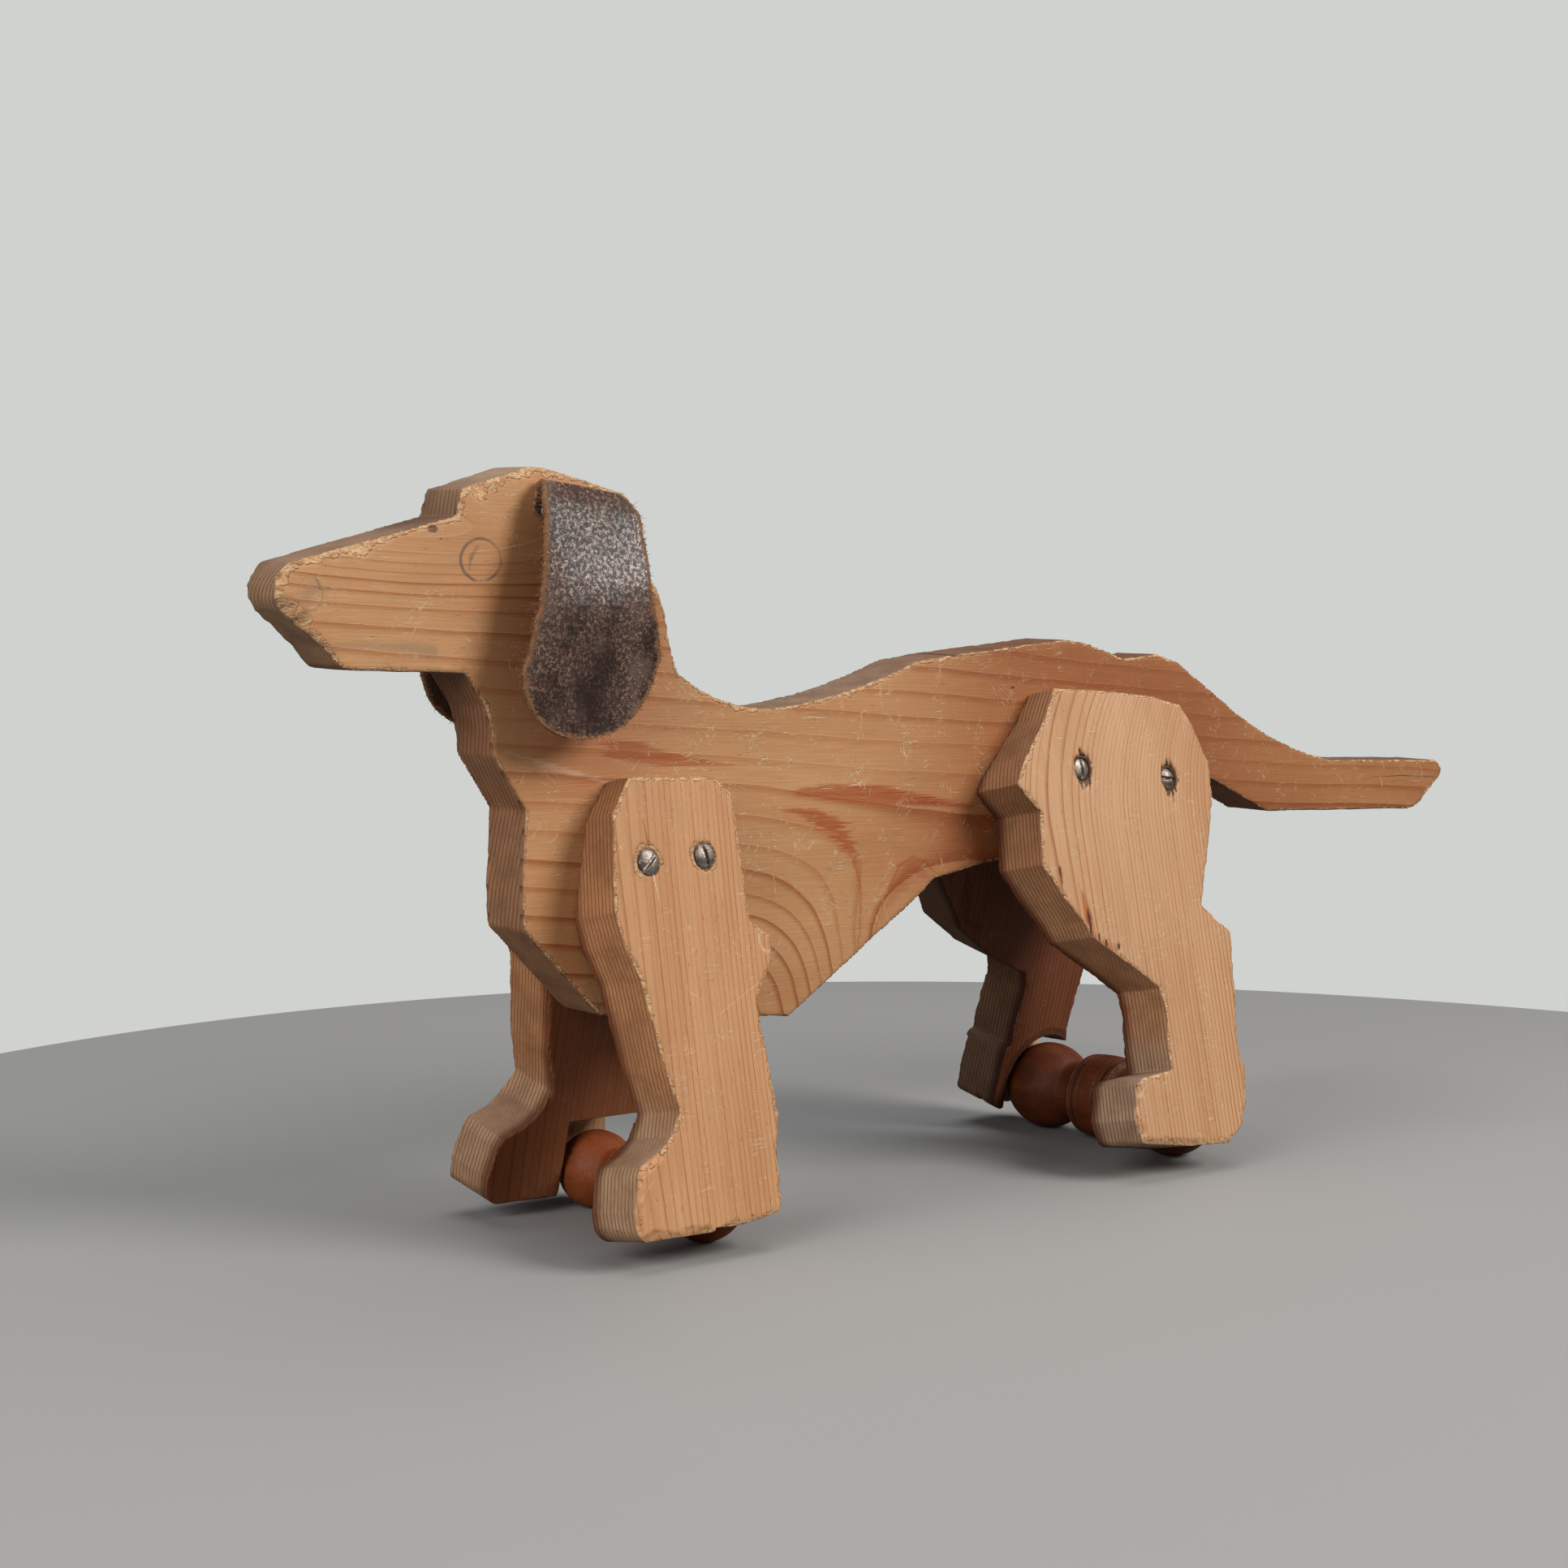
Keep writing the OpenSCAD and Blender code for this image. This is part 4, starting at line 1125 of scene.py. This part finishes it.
def ear_row(drop, up, seed):
    """Where a row starts and ends along the fold, with the ragged cut. The leaf widens a little down from the fold,
    and its front corner is cut off at a slant."""
    if drop is None:
        ends = -13.4 + 0.1 * max(-8.0, up) + 1.2 * max(0.0, -6 - up), 14.5
    else:
        ends = edge_at(EAR_FRONT, drop), edge_at(EAR_BACK, drop)
    found = []
    for number, (end, inset) in enumerate(zip(ends, (0.3, -0.3))):
        sample = Vector((number * 20, drop or -5.0, 0)) * MM
        found.append(end + inset + 0.6 * (wander(sample, 5, seed) + wander(sample, 0.9, seed + 2)))
    return found


def add_loose_fibres(solid, rings, seed, mark):
    """Thin bent fibres that stick out of the cut edges. mark copies a root's values to a point."""
    draws = np.random.default_rng(seed)
    for _ in range(LOOSE_FIBRES):
        ring = rings[int(draws.integers(4, len(rings) - 1))]
        root = ring[(ACROSS + 1, ACROSS + 2, ACROSS + 3, 2 * ACROSS + 6, 2 * ACROSS + 7)[int(draws.integers(0, 5))]]
        inward = (ring[ACROSS // 2].co - root.co).normalized()
        out = (Vector(draws.normal(0, 0.75, 3)) - inward).normalized()
        bend = Vector(draws.normal(0, 0.45, 3))
        length, thick = float(draws.uniform(0.5, 2.1)) * MM, float(draws.uniform(0.08, 0.19)) * MM
        one = out.orthogonal().normalized()
        two = out.cross(one)
        loops = []
        for t in (0, 1 / 3, 2 / 3, 1):
            centre = root.co + out * (length * t - 0.25 * MM) + bend * length * 0.35 * t * t
            wide = thick * (1 - 0.85 * t)
            spokes = (one * math.cos(a) + two * math.sin(a) for a in FIBRE_SIDES)
            loops.append([solid.verts.new(centre + spoke * wide) for spoke in spokes])
            for vertex in loops[-1]:
                mark(vertex, root)
        skin(solid, loops)
        solid.faces.new(loops[0])
        solid.faces.new(loops[-1])


def make_ear(name, side, seed, outward):
    solid = bmesh.new()
    cut, flesh = (solid.verts.layers.float.new(label) for label in ("cut", "flesh"))
    flat = solid.verts.layers.float_vector.new("flat")
    rings, area, walked = [], 0.0, 0.0
    rows = ear_path(outward)
    for n, (out, up, normal_out, normal_up, drop) in enumerate(rows):
        front, back = ear_row(drop, up, seed)
        if back - front < NARROWEST_MM:
            break
        step = math.hypot(out - rows[n - 1][0], up - rows[n - 1][1]) if n else 0.0
        walked += step
        area += step * (back - front)
        hung = drop or 0.0
        hang = clamp(hung / 25)

        def point(share, lift, is_cut, fleshy):
            u = front + (back - front) * share
            sample = Vector((u, walked, seed)) * MM
            curl = hang * (0.9 * (abs(share - 0.45) / 0.55) ** 3 + 0.75 * wander(sample, 22, seed))
            puff = 0.22 * wander(sample + Z * lift * MM, 0.8, seed) if is_cut else 0.09 * wander(sample, 2.2, seed + 6)
            height = lift + curl + puff
            off = FOLD_BACK * u + FOLD_UP * (up + normal_up * height) + Y * (out + normal_out * height)
            vertex = solid.verts.new((FOLD + off * MM) * Vector((1, side, 1)))
            edge = min(min(share, 1 - share) * (back - front), EAR_MM - hung)
            vertex[cut] = 1.0 if is_cut else 0.9 * clamp(1 - edge / RAW_EDGE_MM)
            vertex[flesh] = fleshy
            vertex[flat] = (u, walked, 0)
            return vertex

        half = LEATHER_MM / 2 * (1 - 0.12 * clamp(hung / 60))
        beyond = 0.12 / (back - front)
        turns = [math.pi * i / ACROSS for i in range(ACROSS + 1)]
        shares = [0.5 - 0.5 * math.cos(t) * (1 - 0.35 * math.sin(t)) for t in turns]
        ring = [point(t, half, False, 0.0) for t in shares]
        ring += [point(1 + beyond, half * k, True, 0.5) for k in CUT_POINTS]
        ring += [point(t, -half, False, 1.0) for t in reversed(shares)]
        ring += [point(-beyond, half * k, True, 0.5) for k in reversed(CUT_POINTS)]
        rings.append(ring)
    skin(solid, rings)
    last = 2 * ACROSS + 5
    for ring in (rings[0], rings[-1]):
        for i in range(ACROSS):
            solid.faces.new((ring[i], ring[i + 1], ring[last - i - 1], ring[last - i]))
        solid.faces.new(ring[ACROSS:ACROSS + 6])
        solid.faces.new(ring[last:])

    def mark(vertex, root):
        vertex[cut], vertex[flesh], vertex[flat] = 1.0, 0.5, root[flat]

    add_loose_fibres(solid, rings, seed, mark)
    print(name, "has a flat area of", round(area), "mm2 and is", round(walked, 1), "mm long")
    return finished(solid, name), area, walked


# %% Group: dry leather
# Hairs: their turn in radians, how fine they are along and across
HAIRS = ((0.35, 1.0, 4.2), (-0.5, 0.9, 3.8), (1.5, 1.1, 4.6), (2.3, 1.0, 4.0))
MIDDLE_OF_SHINE_MM = 34


def draw_leather(w, flat, cut, flesh):
    cloud = w.noise(flat, (0.10, 0.06, 1.0), 4.0, 0.6)
    patch = w.noise(flat, (0.2, 0.16, 1.0), 3.0)
    fine = w.noise(flat, (3.5, 2.2, 1.0), 2.0, 0.6, 0.6)
    wide = w.noise(flat, (0.075, 0.05, 1.0), 3.0, 0.55)
    hairs = []
    for turn, along, across in HAIRS:
        rotated = w.out("VectorRotate", {"Vector": flat, "Angle": turn}, rotation_type="Z_AXIS")
        at = rotated * (across, along, 1.0) + (31 * turn, 17 * turn, 0)
        hairs.append(w.ramp(w.noise(at, 1.0, 1.0, 0.5, 0.7), 0.555, 0.65))
    hair = w.most(*hairs) * w.ramp(w.noise(flat, 0.8), 0.40, 0.60, 0.05, 1.0)
    colour = w.stained(
        (0.026, 0.010, 0.008),
        (w.ramp(cloud, 0.35, 0.68), (0.066, 0.033, 0.024)),
        (w.ramp(patch, 0.52, 0.66, 0.0, 0.6), (0.085, 0.025, 0.018)),
        (w.ramp(wide + (fine - 0.5) * 0.2, 0.53, 0.66, 0.0, 0.55), (0.16, 0.105, 0.070)),
        (hair * w.ramp(cloud, 0.38, 0.56, 0.35, 1.0), (0.38, 0.25, 0.19)),
        # painted shade: the dark spot low on the ear
        (spot(w, flat, (4, 73, 0), (6.5, 13, 1)) * 0.8, (0.024, 0.009, 0.008)),
        # painted shade: the flesh side is painted dark brown
        (flesh * 0.85, w.mix(fine, (0.06, 0.03, 0.018), (0.13, 0.07, 0.04))),
    )
    raw = w.ramp(cut + (fine - 0.5) * 0.6 + (w.noise(flat, 0.45) - 0.5) * 1.3, 0.49, 0.76)
    bare = 1.0 - w.most(raw, flesh)
    shine = w.ramp(abs(w.split(flat)[1] - MIDDLE_OF_SHINE_MM), 9, 20, 1.0, 0.0)
    grain = w.out("TexVoronoi", {"Vector": flat, "Scale": 1.5}, "Distance")
    return {
        "Colour": w.mix(raw, colour, w.mix(fine, (0.15, 0.064, 0.028), (0.40, 0.22, 0.115))),
        "Roughness": w.ramp(cloud, 0.3, 0.7, 0.52, 0.66) + w.most(raw, flesh) * 0.3,
        "Polish": shine * bare * w.ramp(hair, 0.0, 0.8, 0.13, 0.85),
        "Height": grain * 0.06 + hair * 0.24 + fine * raw * 0.3,
    }


DRY_LEATHER = make_group(
    "Dry leather", {"Flat": (0.0, 0.0, 0.0), "Cut": 0.0, "Flesh": 0.0}, (*SURFACE, "Polish"), draw_leather
)

# %% Make the ears
LEATHER, w = new_material("dry brown leather")
leather = use_group(w, DRY_LEATHER, Flat=w.read("flat", "Vector"), Cut=w.read("cut"), Flesh=w.read("flesh"))
dress(w, leather, Coat_Weight=leather["Polish"], Coat_Roughness=0.3, Coat_IOR=1.6, Specular_IOR_Level=0.2)
for body, side, seed, outward in (("ear_left", -1, 3, 0), ("ear_right", 1, 14, 4)):
    mesh, area, length = make_ear(body + " strip", side, seed, outward)
    strip = add_piece(body + "_strip", mesh, None, LEATHER, [body, body + "_hem"])
    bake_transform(strip)
    length * MM
    area * MM * MM
